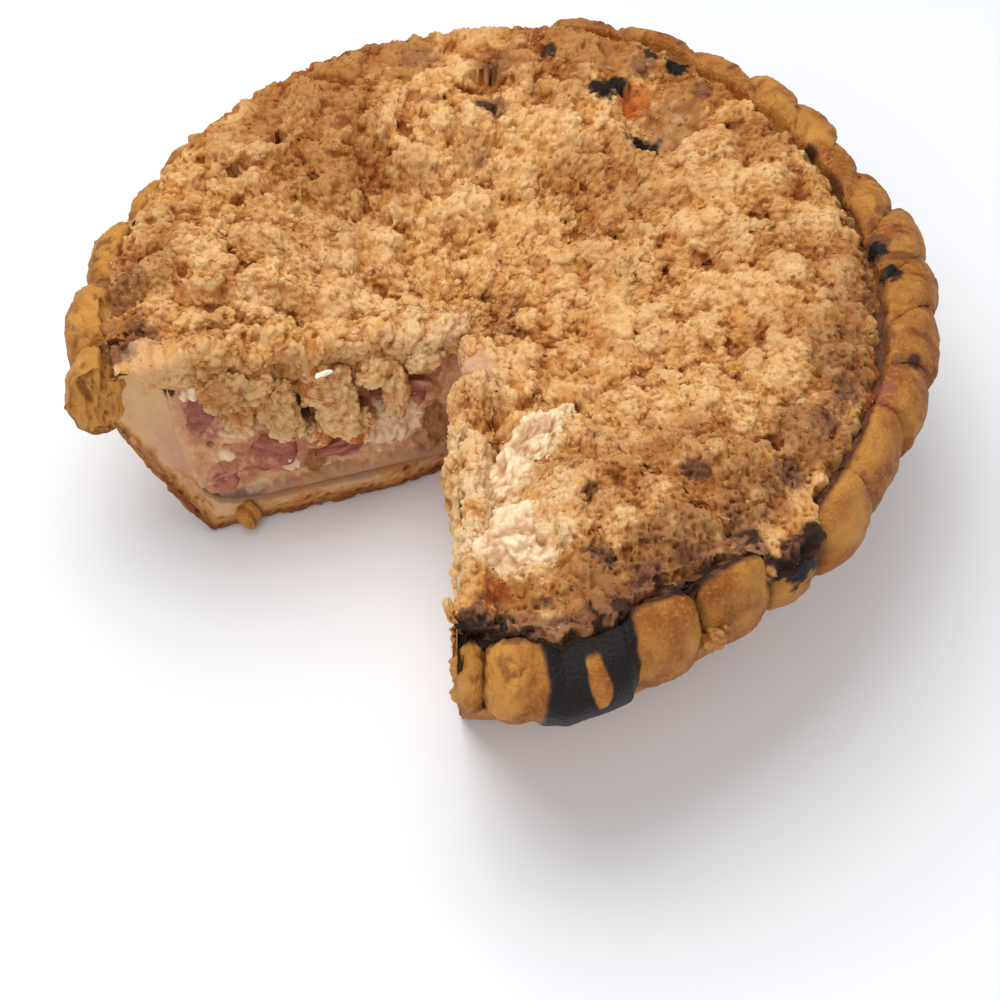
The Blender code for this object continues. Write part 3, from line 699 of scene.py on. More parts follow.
MAUVE = [
    (-5, -107, 79, 5.5, 1.0), (2, -108, 79, 4.5, 0.9), (7, -112, 79, 4.0, 0.9), (12, -115, 78, 4.5, 1.0),
    (25, -111, 79, 5.0, 0.9), (32, -104, 80, 6.0, 1.0), (36, -98, 80, 4.5, 0.8),
    (26, -88, 80, 5.5, 0.9), (19, -82, 77, 3.2, 0.8), (38, -94, 80, 6, 0.9), (48, -88, 80, 4.5, 0.8),
    (24, -66, 77, 2.6, 0.7), (21, -57, 75, 2.8, 0.9), (26, -42, 74, 2.6, 0.7), (14, -21, 70, 2.6, 0.5),
    (52, -62, 79, 4.5, 0.9), (56, -53, 79, 4.0, 0.8), (41, -41, 76, 2.6, 0.5), (52, -44, 77, 2.4, 0.4),
    (38, -80, 79, 3.2, 0.6), (60, -76, 81, 4.0, 0.8), (76, -62, 82, 5.0, 0.9), (86, -46, 82, 5.0, 0.9),
    (93, -36, 82, 5.5, 0.9), (90, -26, 83, 3.2, 0.6), (54, 73, 70, 10, 0.4), (-64, 61, 78, 2.6, 0.9),
    (-4, 56, 77, 3.4, 0.6), (-101, -18, 81, 6, 0.8), (-98, -5, 82, 4, 0.5), (0, 94, 79, 5, 0.6),
    (-24, 98, 79, 7, 0.5),
    (44, 92, 78, 5, 0.8), (62, 82, 80, 4, 0.7), (74, 30, 84, 3, 0.4), (66, 10, 82, 2.2, 0.6),
    (94, -24, 82, 13, 0.45), (97, -4, 82, 10, 0.35), (84, -48, 82, 13, 0.4), (66, -70, 82, 12, 0.35),
    (44, -84, 80, 12, 0.4), (28, -94, 79, 10, 0.45), (77, -86, 79, 6.5, 1.0), (-2, 76, 78, 6, 0.7),
    (-103, 3, 80, 7, 0.55), (-97, -12, 80, 7, 0.6), (-104, -21, 78, 6, 0.8),
]
# Burnt spots, and painted shade at the bottom of holes and hollows
CHAR_AND_HOLE_SHADE = [
    (31, 80, 78, 4.8, 1.0), (36, 85, 79, 4.8, 1.0), (55, 94, 80, 5.0, 1.0), (48, 97, 80, 3.2, 0.9),
    (16, 98, 80, 3.0, 0.9), (43, 65.5, 69.5, 6.5, 1.0), (39, 62, 69, 4.5, 0.9), (-3, 77, 76, 3.2, 0.8),
    (-6, -108, 79, 3.2, 0.9), (-8, -109, 73, 6.0, 1.0), (0, -110, 77, 4.0, 0.9), (32, -104, 80, 3.2, 0.7),
    (20, -115, 78, 3.2, 0.9), (26, -114, 78, 4.0, 1.0), (31, -103, 79, 3.0, 0.8), (79, -88, 78, 5.0, 1.0),
    (27, -91, 78, 2.4, 0.8), (-75, 46, 72, 2.6, 0.9),
    (-77, 53, 74, 2.2, 0.8), (-2, 84, 78, 3.0, 0.6), (46, 70, 80, 2.0, 0.6), (78, 22, 80, 1.8, 0.6),
]
ORANGE = [
    (0, -97, 77, 4.5, 0.9), (-3, -101, 78, 3.5, 0.9), (60, 66, 74, 6, 0.5), (42, 80, 76, 5.5, 0.8),
    (12, -50, 66, 4, 0.9), (14, -66, 72, 3.5, 0.8), (30, -6, 70, 4, 0.5), (-4, -58, 68, 4, 0.5),
]
CREAM = [
    (8, -42, 70, 10, 0.8), (1, -54, 70, 10, 0.7), (-4, -62, 70, 6, 0.6), (4, -79, 75, 14, 0.9),
    (-8, -40, 66, 7, 0.6), (-2, -20, 66, 6, 0.3), (-8, -92, 74, 5, 0.7), (-20, -4, 67, 9, 0.5),
    (-12, 0, 67, 7, 0.45), (-6, -78, 70, 9, 0.9), (-6, -60, 66, 8, 0.8), (13, -36, 69, 7, 0.8),
    (16, -66, 74, 6, 0.5), (-92, -24, 74, 11, 0.3),
]

# Places where the looks dip or rise a little more than the solid: x, y, reach along x and y, change
DIPS = [
    (7, -45, 8, 11, -3.0), (2, -78, 12, 11, -3.0), (43, 65, 5, 4, -3.0), (-75, 46, 3, 3, -2.5),
    (-64, 61, 3, 4, -2.0), (-3, 77, 5, 7, -4.0), (-4, -60, 5, 6, -2.0), (-3, -79, 7, 8, -3.5),
    (-30, 102, 36, 13, -2.0), (-77, 77, 20, 16, -2.0),
]

# Hole at the back: middle, and reach along x and y
HOLE_MIDDLE = (49, 72)
HOLE_REACH = (13, 16)

# Where the crumbs have melted to a smooth glaze
GLAZE = [(53, 74, 72, 11, 0.85), (40, 84, 78, 5, 0.8), (-1, -98, 77, 4.5, 0.7), (-92, -24, 75, 10, 1.0)]


def stain(points, rows, seed):
    """Patches with ragged edges: strength * ease(1 - distance / reach + noise), the strongest of all rows."""
    ragged = 0.4 * rough(points, 5.0, seed) + 0.35 * rough(points, 1.7, seed + 3, 2)
    best = np.zeros(points.shape[:-1])
    for x, y, z, reach, strength in rows:
        away = np.linalg.norm((points - (x, y, z)) * (1, 1, 0.6), axis=-1) / reach
        best = np.maximum(best, strength * smooth(0.0, 0.3, 1 - away + ragged))
    return best


def rim_band(points):
    """Dark juice baked on where crumbs meet the crust, 0 to 1: broken patches, strongest at the front."""
    x, y = points[..., 0], points[..., 1]
    radius, angle = polar(x, y)
    ring = radius - crumb_edge(angle) + 2.4 * rough(points, 6.0, 12) + 1.4 * rough(points, 1.6, 13, 2)
    front = smooth(-66, -76, angle)
    broken = smooth(-0.3 * front, 0.3 - 0.3 * front, rough(points, 8.0, 16))
    gap = smooth(6.5, 3.5, np.hypot(x - 18, y + 104) + 3 * rough(points, 4.0, 17, 2))
    broken = np.maximum(broken * (1 - 0.9 * gap), front * smooth(3.0, 5.0, ring))
    return smooth(-1.5, 1.5, ring) * smooth(35, -20, angle) * smooth(-120, -105, angle) * broken


def crumb_masks(points, height, tint):
    """Masks of the streusel material at points of a crumb surface."""
    band = rim_band(points)
    away = np.hypot(points[..., 0], points[..., 1])
    # Where the juice band turns black: more in low crumbs and farther out over the crust, so partly painted
    # shade in the gap
    gap_shade_and_burn = smooth(-0.05, 0.25, rough(points, 3.6, 14) + 0.4 * (0.5 - height) + 0.5 * smooth(109, 113, away))
    return {
        "height": height,
        "tint": tint,
        "toast": np.clip(stain(points, TOAST, 5) + 0.6 * smooth(-0.05, 0.45, rough(points, 26, 18)), 0, 1),
        "mauve": np.maximum(stain(points, MAUVE, 6), 0.85 * band),
        "char": np.maximum(stain(points, CHAR_AND_HOLE_SHADE, 7), 0.9 * band * gap_shade_and_burn),
        "orange": stain(points, ORANGE, 8) * (1 - 0.6 * band),
        "cream": stain(points, CREAM, 9) * (1 - band),
    }


def crumble(points, outward, baked, amount):
    """Streusel relief: nuggets of three sizes on a bent lattice, pushed out along the normals.

    baked from 0 to 1 sinks them into a biscuit with small pits. Returns the points and their masks.
    """
    bent = points + 1.3 * drift(points, 5.2, 40) + 0.6 * drift(points, 2.3, 44)
    bent = bent + 0.25 * drift(points, 1.0, 47)
    large, tint = grains(bent, 4.6, 50)
    middle, second_tint = grains(bent, 2.4, 60)
    small, third_tint = grains(bent, 1.3, 70)
    pits, _ = grains(points + 0.9 * drift(points, 2.0, 83), 2.1, 80, 0.42)
    loose = 1 - 0.6 * baked
    rise = loose * (1.3 * large + 1.0 * middle - 1.3) + 0.65 * small + 0.3 * rough(points, 1.7, 90, 2) - 0.25
    rise = (rise - (0.2 + 0.6 * baked) * smooth(0.1, 0.5, pits)) * amount
    moved = points + outward * rise[..., None]
    # Height: high on the nuggets, low between them and in the pits; the material darkens the low places with
    # it as painted shade
    height = (1.4 * large + 1.1 * middle + 0.6 * small) / 2.4 - (0.1 + 0.4 * baked) * pits
    height = height * amount + 0.5 * (1 - amount)
    tint = 0.45 * tint + 0.35 * second_tint + 0.2 * third_tint
    return moved, np.clip(height, 0, 1), tint


# Topping

# Sectors: name, first and last angle in degrees, inner and outer share of the way out, spacing of points
SECTORS = [
    ("middle", -90, LEFT_FACE_ANGLE, 0.0, 0.42, 0.42), ("front", -90, -20, 0.42, 1.0, 0.36),
    ("right", -20, 60, 0.42, 1.0, 0.38), ("back", 60, 130, 0.42, 1.0, 0.44),
    ("left", 130, LEFT_FACE_ANGLE, 0.42, 1.0, 0.38),
]


def reach_to(angle, edge):
    """Distance from the apex at angles in radians to a curve given as a radius about the axis."""
    along = np.stack([np.cos(angle), np.sin(angle)], -1)
    distance = np.full(angle.shape, 100.0)
    for _ in range(6):
        spot = APEX + distance[..., None] * along
        wanted = edge(spot)
        lean = along @ APEX
        distance = -lean + np.sqrt(lean**2 + wanted**2 - APEX @ APEX)
    return distance


def skirt_reach(angle):
    """How far the thin edge of crumbs reaches out over the crust, at angles in degrees."""
    back = smooth(68, 85, angle) * smooth(158, 142, angle)
    corner = smooth(-58, -50, angle) * smooth(-39, -45, angle)
    front = smooth(-68, -76, angle) * (angle > -120)
    over_film = smooth(-86, -82, angle) * smooth(-66, -72, angle)
    return 1.5 + 2.5 * smooth(0, -30, angle) + 4.5 * front + 3.0 * over_film + 1.5 * back + 9.0 * corner


def crumb_limit(x, y):
    """Radius where the thin edge of crumbs comes down to the crust."""
    angle = polar(x, y)[1]
    return crumb_edge(angle) + skirt_reach(angle) + 1.6 * ripple(x, y, 9, 5)


def mounds(x, y):
    """Broad swellings of the topping, about 0."""
    return lumps(x + 1.5 * ripple(y, x, 11, 8), y, 17.0, 12.5, 21) - 0.62


def topping_edge(spot):
    """Radius of the topping's ragged edge, a little past where it meets the crust."""
    return crumb_limit(spot[..., 0], spot[..., 1]) + 2.6


def crumb_skin(x, y, sink=0):
    """Height of the topping's looks: crumb_top with mounds, deeper dips, a sunk slope at the back and a
    thin skirt over the crust. sink of 1 lowers it along the faces, where the lips cover it."""
    radius, angle = polar(x, y)
    front = smooth(-66, -76, angle) * (angle > -120)
    skirt = CRUMB_SEAT + np.minimum(0.5 + 1.6 * front, 2.0 * (crumb_limit(x, y) - radius))
    height = crumb_top(x, y) + MOUND_HEIGHT * mounds(x, y) * smooth(101, 92, radius)
    height = with_bumps(np.where(radius > 92, np.maximum(height, skirt), height), x, y, DIPS)
    away = np.hypot((x - HOLE_MIDDLE[0]) / HOLE_REACH[0], (y - HOLE_MIDDLE[1]) / HOLE_REACH[1])
    sunk = smooth(1.1, 0.6, away)
    slope = 67.5 + 10.5 * smooth(62, 89, y - 0.25 * (x - 50)) + 2.5 * smooth(4, 12, np.abs(x - 50))
    height = height + sunk * (slope + ripple(x, y, 14, 9) - height)
    for face in ("left", "front"):
        along, outward = face_frame(face)
        beside, length = ((x - APEX[0]) * way[0] + (y - APEX[1]) * way[1] for way in (outward, along))
        height = height - sink * LIP_SINK * smooth(-6.5, -3.5, beside) * smooth(-4, 0, length)
    return height


def make_topping(name, first, last, inner, outer, step):
    """Sector of the topping about the apex, closed below: the top is crumb_skin plus streusel relief.

    first and last are angles in degrees. inner and outer are shares of the way to the edge.
    """
    columns = round(math.radians(last - first) * outer * TOPPING_ARC / step)
    rows = round((outer - inner) * TOPPING_REACH / step)
    angle = np.radians(np.linspace(first, last, columns))
    reach = reach_to(angle, topping_edge)
    share = np.linspace(inner, outer, rows)
    distance = reach[:, None] * share[None, :]
    x = APEX[0] + distance * np.cos(angle)[:, None]
    y = APEX[1] + distance * np.sin(angle)[:, None]
    base = np.stack([x, y, crumb_skin(x, y, 1)], -1)
    radius, turn = polar(x, y)
    up = -normals(base)
    up = np.where(up[..., 2:] < 0, -up, up)
    front = smooth(40, 72, radius) * smooth(20, -30, turn) * smooth(-120, -100, turn)
    baked = np.clip(0.65 * front + smooth(74, 98, radius) * (0.5 + 0.5 * noise(base, 24, 33)), 0, 1)
    inset = topping_edge(np.stack([x, y], -1)) - radius
    edge = smooth(-1.4, 1.8, inset)
    moved, height, tint = crumble(base, up, baked, 1 - 0.85 * stain(base, GLAZE, 15))
    moved = base + (moved - base) * edge[..., None]
    # Painted shade: the height mask is lowered between the clumps and mounds, and near the edge where the
    # crumbs go down to the crust
    mound_shade = crumb_lumps(x, y) / 6.0 + 0.5 * mounds(x, y)
    level = np.clip(0.75 * height + 0.75 * mound_shade - 0.16, 0, 1) * (0.3 + 0.7 * smooth(0.3, 3.2, inset))
    masks = crumb_masks(moved, level, tint)
    low = np.where(radius < 92, fill_top(radius), CRUMB_SEAT - 3) - 0.5
    return close_below(name, moved, low, masks, up)


def close_below(name, top, low, masks, up):
    """Closed piece under a grid: its sides drop from the grid's border to a height, and long faces join
    the two ends of each row below."""
    n, m = top.shape[:2]
    under = np.concatenate([top[..., :2], low[..., None]], -1)
    points = np.concatenate([top.reshape(-1, 3), under.reshape(-1, 3)])
    number = np.arange(n * m).reshape(n, m)
    below = number + n * m
    faces = [cells(n, m)[:, ::-1]]
    for line, flip in ((number[:, 0], False), (number[:, -1], True), (number[0], True), (number[-1], False)):
        wall = np.stack([line[:-1], line[1:], line[1:] + n * m, line[:-1] + n * m], -1)
        faces.append(wall[:, ::-1] if flip else wall)
    spans = np.stack([below[1:-2, 0], below[2:-1, 0], below[2:-1, -1], below[1:-2, -1]], -1)
    faces.append(spans)
    start = np.concatenate([[below[1, 0]], [below[1, -1]], below[0, ::-1]])
    end = np.concatenate([[below[-2, -1]], [below[-2, 0]], below[-1]])
    used = np.zeros(len(points), bool)
    for group in faces:
        used[group.ravel()] = True
    used[start], used[end] = True, True
    renumber = np.cumsum(used) - 1
    masks = {key: np.concatenate([value.ravel(), value.ravel()])[used] for key, value in masks.items()}
    obj = add_mesh(
        name, points[used], renumber[np.concatenate(faces)], masks, CRUMBS, [renumber[start], renumber[end]],
    )
    dress(obj, "crumbs", "crumb_topping")
    return top.reshape(-1, 3), up.reshape(-1, 3), {key: value[: n * m] for key, value in masks.items()}


# Slice faces, filling and fruit


def closed_normals(grid):
    """Outward unit normals of a tube: rows along it, and a closed loop of points in each row."""
    along = np.gradient(grid, axis=0)
    around = np.roll(grid, -1, axis=1) - np.roll(grid, 1, axis=1)
    across = unit(np.cross(along, around))
    outward = grid - grid.mean(axis=1, keepdims=True)
    return across if (across * outward).sum() > 0 else -across


def outward_faces(points, faces):
    """The faces, turned over if they enclose a negative volume."""
    a, b, c, d = (points[faces[:, k]] for k in range(4))
    volume = (a * (np.cross(b, c) + np.cross(c, d))).sum()
    return faces if volume > 0 else faces[:, ::-1]


def tube_parts(grid, masks):
    """Points, outward faces and masks of a tube whose ends run to a point in the middle of the end loop."""
    grid = np.concatenate([grid[:1].mean(1, keepdims=True).repeat(grid.shape[1], 1), grid,
                           grid[-1:].mean(1, keepdims=True).repeat(grid.shape[1], 1)])
    wide = {key: np.concatenate([value[:1], value, value[-1:]]).ravel() for key, value in masks.items()}
    points = grid.reshape(-1, 3)
    return points, outward_faces(points, cells(*grid.shape[:2], wrap=True)), wide


def add_tube(name, grid, masks, material, slot, *nodes):
    """A tube as a piece of its own."""
    return dress(add_mesh(name, *tube_parts(grid, masks), material), slot, *nodes)


def join(parts):
    """Several sets of points, faces and masks as one."""
    start, points, faces, masks = 0, [], [], {}
    for part_points, part_faces, part_masks in parts:
        points.append(part_points)
        faces.append(part_faces + start)
        for key, value in part_masks.items():
            masks.setdefault(key, []).append(value)
        start += len(part_points)
    return np.concatenate(points), np.concatenate(faces), {k: np.concatenate(v) for k, v in masks.items()}


def blob_grid(centre, half, turn, seed, rows, columns):
    """Ellipsoid grid with an uneven skin: radius 1 + 0.16 ripple, scaled to half sizes, leant and spun."""
    down = np.linspace(0.02, math.pi - 0.02, rows)[:, None]
    round_ = np.linspace(0, 2 * math.pi, columns, endpoint=False)[None, :]
    x, y, z = np.sin(down) * np.cos(round_), np.sin(down) * np.sin(round_), np.cos(down) + 0 * round_
    skin = 1 + 0.16 * ripple(x + 0.6 * z, y - 0.5 * z, 1.3, seed)
    x, y, z = (value * skin * size for value, size in zip((x, y, z), half))
    spin, lean = math.radians(turn[0]), math.radians(turn[1])
    x, z = x * math.cos(lean) - z * math.sin(lean), x * math.sin(lean) + z * math.cos(lean)
    x, y = x * math.cos(spin) - y * math.sin(spin), x * math.sin(spin) + y * math.cos(spin)
    return np.stack([x, y, z], -1) + np.array(centre)


# Edge of the topping over a face: reach from the axis, stand-off, size of its rounding, and how baked
LIPS = {"left": (106.0, 2.4, 4.2, 0.1), "front": (109.5, -0.2, 3.4, 0.35)}

# Hollows in the edge over the front face: distance from the apex, reach along the face, depth
LIP_HOLLOWS = [(84, 9, 2.2), (66, 6, 1.2)]


def make_lip(face):
    """Edge of the topping over a face: a loop of top, quarter round, face and underside, carried along."""
    reach, stand, round_size, baked = LIPS[face]
    distance = np.linspace(-3.0, face_distance(face, reach), 260)[:, None]
    inner = np.linspace(-9, stand - round_size, 24)[None, :]
    flat = on_face(face, distance, 0 * inner, inner)
    top = crumb_skin(flat[..., 0], flat[..., 1]) - 2.5 * smooth(-6.2, -8.5, inner)
    rim = np.hypot(flat[:, -1:, 0], flat[:, -1:, 1])
    low = np.where(rim < 93, fill_top(rim) + 0.4, 65.4 + 12 * smooth(93, 104, rim))
    high = np.maximum(top[:, -1:], low + 4.5 - 3.0 * smooth(100, 107, rim))
    size = np.minimum(round_size, (high - low) * 0.45)
    bend = np.linspace(0, math.pi / 2, 14)[None, 1:]
    down = np.linspace(0, 1, 26)[None, 1:]
    curl = np.linspace(0, math.pi / 2, 7)[None, 1:]
    back = np.array([[-0.3, -4.0, -9.0]])
    outs = [inner, stand - round_size + round_size * np.sin(bend), stand + 0 * down,
            stand - 1.8 + 1.8 * np.cos(curl), back, np.full((1, 2), -9.0)]
    heights = [np.maximum(top, np.minimum(low + 3, high - 1)), high - size + size * np.cos(bend),
               (high - size) * (1 - down) + (low + 1.8) * down, low + 1.8 - 1.8 * np.sin(curl),
               low + 0 * back, low + np.array([[1.5, 3.0]])]
    out = np.concatenate(outs, 1) + 0 * distance
    height = np.concatenate(heights, 1)
    wave = 1.3 * ripple(distance + 0 * out, height * 0.7, 13, 41 + len(face))
    hollow = sum(depth * np.exp(-((distance - middle) / wide) ** 2) for middle, wide, depth in LIP_HOLLOWS)
    out = out + smooth(-3, 1.5, out) * (wave - (face == "front") * hollow)
    grid = on_face(face, distance, height, out)
    outward = closed_normals(grid)
    seen = np.concatenate([np.ones(out.shape[1] - 5), np.zeros(5)])[None, :]
    moved, level, tint = crumble(grid, outward, baked, 1 - 0.9 * stain(grid, GLAZE, 15))
    moved = grid + (moved - grid) * seen[..., None]
    masks = crumb_masks(moved, level, tint)
    pale = smooth(0.0, 2.5, out) * smooth(0.3, 0.6, tint) * (1 - rim_band(moved))
    masks["cream"] = np.maximum(masks["cream"], 0.3 * pale * smooth(50, 30, distance))
    add_tube(f"topping_lip_{face}", moved, masks, CRUMBS, "crumbs", "crumb_topping")
    shown = {key: np.broadcast_to(value, out.shape)[:, :-6].ravel() for key, value in masks.items()}
    return moved[:, :-6].reshape(-1, 3), outward[:, :-6].reshape(-1, 3), shown


def make_hanging(face, rows):
    """Clumps of crumbs that hang over a face, each an uneven ellipsoid with streusel relief."""
    parts, surfaces = [], []
    for number, (distance, height, out, along, across, up) in enumerate(rows):
        centre = on_face(face, distance, height, out)
        grid = blob_grid(centre, (along, across, up), (face_turn(face), 0), 91 + number, 58, 74)
        outward = closed_normals(grid)
        moved, level, tint = crumble(grid, outward, 0.0, 1.05)
        # Painted light: the height mask is raised so these crumbs, which hang in shade, are coloured paler
        masks = crumb_masks(moved, np.clip(level + 0.26, 0, 1), tint)
        low = smooth(height + 0.2 * up, height - up, moved[..., 2])
        masks["cream"] = np.maximum(masks["cream"], (0.12 + 0.4 * low) * smooth(0.35, 0.65, tint))
        glowing = cell_number(number, 3, 5, 7) > 0.5
        masks["orange"] = np.maximum(masks["orange"], (0.25 + 0.5 * glowing) * smooth(0.45, 0.3, tint))
        parts.append(tube_parts(moved, masks))
        surfaces.append((moved.reshape(-1, 3), outward.reshape(-1, 3), flat_masks(masks, moved.shape[:2])))
    dress(add_mesh(f"hanging_crumbs_{face}", *join(parts), CRUMBS), "crumbs", "crumb_topping")
    return surfaces


def make_torn():
    """Patches of pale curd where crumbs came away: broad ellipsoids with torn flakes, and hollows coloured
    glassy golden brown, partly glassy custard and partly painted shade.
    """
    for number, (centre, half, turn) in enumerate(TORN, 1):
        grid = blob_grid(centre, half, (turn, 0), 80 + number, 110, 150)
        outward = closed_normals(grid)
        bent = grid + 2.4 * drift(grid, 6.0, 140) + 0.8 * drift(grid, 2.5, 144)
        curd, tint = grains(bent, 5.4, 150)
        crumbly, patch = grains(bent, 2.7, 155)
        fine, _ = grains(bent, 1.4, 160)
        hollow = smooth(-0.05, 0.3, rough(grid, 6.5, 165))
        crease = np.abs(rough(grid * (1, 0.4, 0.6) + 0.8 * drift(grid, 5.0, 172), 3.4, 175))
        flake = np.clip(1 - 4 * crease, -1, 1)
        rise = 0.8 * curd + 0.9 * crumbly + 0.5 * fine - 1.5 + 0.5 * rough(grid, 4.0, 170)
        rise = rise + 0.3 * flake - 1.3 * hollow
        moved = grid + outward * rise[..., None]
        hold_back(moved, "front", -1.6)
        # Cream strongest on raised curds and weaker in the hollows, where glassy brown is laid on: partly the
        # curd's own colour, partly painted shade
        cream = np.clip(0.15 + 0.3 * tint + 0.5 * patch + 0.3 * curd + 0.3 * crumbly, 0, 1)
        glass = np.clip(0.5 * hollow + 0.35 * smooth(0.3, 0.1, crumbly), 0, 1)
        masks = full_masks(CUSTARD_MASKS, tint, cream=cream * (1 - 0.7 * hollow), glass=glass)
        add_tube(f"torn_curd_{number}", moved, masks, CUSTARD, "custard", "custard_filling")


# Inside this radius the rows of the plan run straight to the apex
CORE_RADIUS = 45.0


def pie_place(share, radius):
    """Plan of the pie: share 0 is the front face and 1 the left face, and the rows go round the axis."""
    share, radius = np.broadcast_arrays(share, radius)
    ring = np.maximum(radius, CORE_RADIUS)
    first, last = face_angle("front", ring), face_angle("left", ring)
    angle = np.radians(first + share * (last - first))
    start = np.hypot(*APEX)
    toward = np.clip((radius - start) / (CORE_RADIUS - start), 0, 1)
    flat = np.stack([ring * np.cos(angle), ring * np.sin(angle)], -1)
    return APEX + toward[..., None] * (flat - APEX)


# What shows in the custard on a face: distance, height, reach along and up, strength
LEFT_PINK = [
    (77, 50, 9, 16, 0.9), (58, 27, 16, 13, 0.9), (72, 20, 10, 9, 0.85), (35, 23, 10, 6, 0.6),
    (20, 42, 14, 9, 0.8), (8, 50, 8, 8, 0.6), (28, 30, 9, 5, 0.35), (86, 36, 7, 14, 0.5), (53, 10, 3, 7, 0.8),
]
LEFT_GLASS = [
    (45, 18, 4.5, 7, 1.0), (7, 22, 5.5, 12, 1.0), (12, 16, 4, 4, 0.6), (57, 9, 7, 3, 0.6),
    (70, 27, 4, 2, 0.5), (40, 12, 14, 3, 0.5),
]
LEFT_CURD = [
    (77, 63, 4.5, 5, 1.0), (51, 33, 3.4, 3, 1.0), (17, 24, 4.5, 5, 0.9), (44, 31, 4.5, 3.5, 1.0),
    (30, 33, 6, 4, 0.9), (22, 32, 10, 9, 0.8), (26, 25, 8, 5, 0.8), (67, 41, 6, 2.5, 0.6),
    (63, 45, 6, 2, 0.4), (71, 31, 2.6, 2.4, 0.8), (36, 34, 4, 2.4, 0.7), (54, 21, 3.4, 3, 0.8),
    (24, 19, 3, 2.4, 0.7), (63, 12, 6, 2.4, 0.4),
]
# Holes: sunk into the face and painted dark as shade
LEFT_HOLES = [
    (83, 65, 1.4, 4.5, 1.0), (48, 43, 4.0, 8.0, 1.0), (75, 36, 1.4, 1.6, 1.0), (70, 34.5, 1.8, 1.2, 1.0),
    (56, 40, 2.4, 1.6, 0.9), (31, 41, 2.0, 2.5, 0.6), (65, 23, 4, 1.0, 0.6),
]
FRONT_PINK = [(24, 28, 15, 12, 0.9), (47, 34, 17, 13, 0.9), (66, 21, 14, 10, 0.8), (79, 47, 9, 13, 0.8)]
FRONT_GLASS = [(36, 20, 5, 7, 0.9), (58, 42, 5, 6, 0.8), (10, 26, 5, 12, 0.9), (60, 11, 16, 3, 0.5)]
FRONT_CURD = [
    (15, 44, 7, 6, 0.8), (57, 26, 5, 4, 0.9), (34, 44, 7, 5, 0.7), (70, 54, 6, 5, 0.9), (86, 62, 5, 4, 0.9),
    (38, 28, 3, 3, 0.7), (74, 33, 4, 3, 0.7),
]
FRONT_HOLES = [
    (40, 46, 3.5, 5.0, 1.0), (62, 36, 1.8, 2.4, 1.0), (73, 34, 1.6, 2.0, 1.0), (16, 36, 1.8, 2.2, 0.8),
]
FACE_PATCHES = {"left": (LEFT_HOLES, LEFT_GLASS, LEFT_CURD, LEFT_PINK),
                "front": (FRONT_HOLES, FRONT_GLASS, FRONT_CURD, FRONT_PINK)}


def face_patch(distance, height, rows, seed):
    """Patches on a face with ragged edges: strength * ease(1 - distance in reaches + noise)."""
    spot = np.stack([distance, height, 0 * distance + seed], -1)
    ragged = 0.4 * rough(spot, 5.0, seed) + 0.25 * rough(spot, 1.8, seed + 3, 2)
    best = np.zeros(distance.shape)
    for along, up, reach, rise, strength in rows:
        away = np.hypot((distance - along) / reach, (height - up) / rise)
        best = np.maximum(best, strength * smooth(0.0, 0.3, 1 - away + ragged))
    return best


def custard_face(face, distance, height):
    """Relief out of a face in millimetres, and the masks of the custard there."""
    spot = np.stack([distance, height, 0 * distance + len(face) * 9.0], -1)
    bent = spot + 2.6 * drift(spot, 7.0, 210) + 0.8 * drift(spot, 2.0, 214)
    curd, tint = grains(bent, 5.6, 220)
    fine, _ = grains(bent, 2.2, 230)
    hole, glass, cream, pink = (
        face_patch(distance, height, rows, seed) for seed, rows in enumerate(FACE_PATCHES[face], 241))
    band = height + 1.6 * rough(spot * (0.35, 1, 1), 6.0, 245)
    grey = smooth(14.5, 10.5, band) * smooth(88, 78, distance)
    grey = grey * (0.35 + 0.75 * smooth(-0.2, 0.3, rough(spot, 14.0, 246)))
    strand = rough(np.stack([distance * 0.3 + height * 0.12, height, 0 * distance], -1), 1.8, 248)
    relief = 1.0 * ripple(distance, height, 15, 31 + len(face)) + 1.1 * curd + 0.5 * fine - 1.0
    relief = relief + 1.8 * cream * curd - 1.0 * glass - 4.5 * hole + 0.7 * rough(spot, 3.0, 250)
    relief = relief + 0.6 * pink * strand - 0.6 * grey * (curd + 0.5)
    wall = np.interp(height, FILL_FOOT_HEIGHTS, FILL_FOOT_RADII)
    floor = np.interp(distance, FILL_FOOT_RADII, FILL_FOOT_HEIGHTS)
    beside = smooth(6, 0.5, face_distance(face, wall) - distance) * smooth(14, 20, height)
    beside = np.maximum(beside, smooth(4.5, 1.0, height - floor))
    relief = relief * (1 - beside) + 0.5 * beside
    flecks = 0.25 * smooth(0.7, 1.0, fine) * (1 - grey) * (1 - glass)
    pink = np.clip(pink * (0.75 + 0.6 * strand) + 0.2 * smooth(0.6, 0.9, tint), 0, 1)
    masks = {
        "pink": pink * (1 - 0.6 * beside),
        "grey": np.clip(0.9 * grey, 0, 1),
        "glass": np.clip(glass * (1 - cream) * (1 - beside), 0, 1),
        "cream": np.clip(cream * (0.55 + 0.45 * curd) + flecks, 0, 1),
        # Holes painted near black: painted shade in them
        "char": np.clip(0.95 * smooth(0.35, 0.9, hole), 0, 1),
    }
    return relief, masks


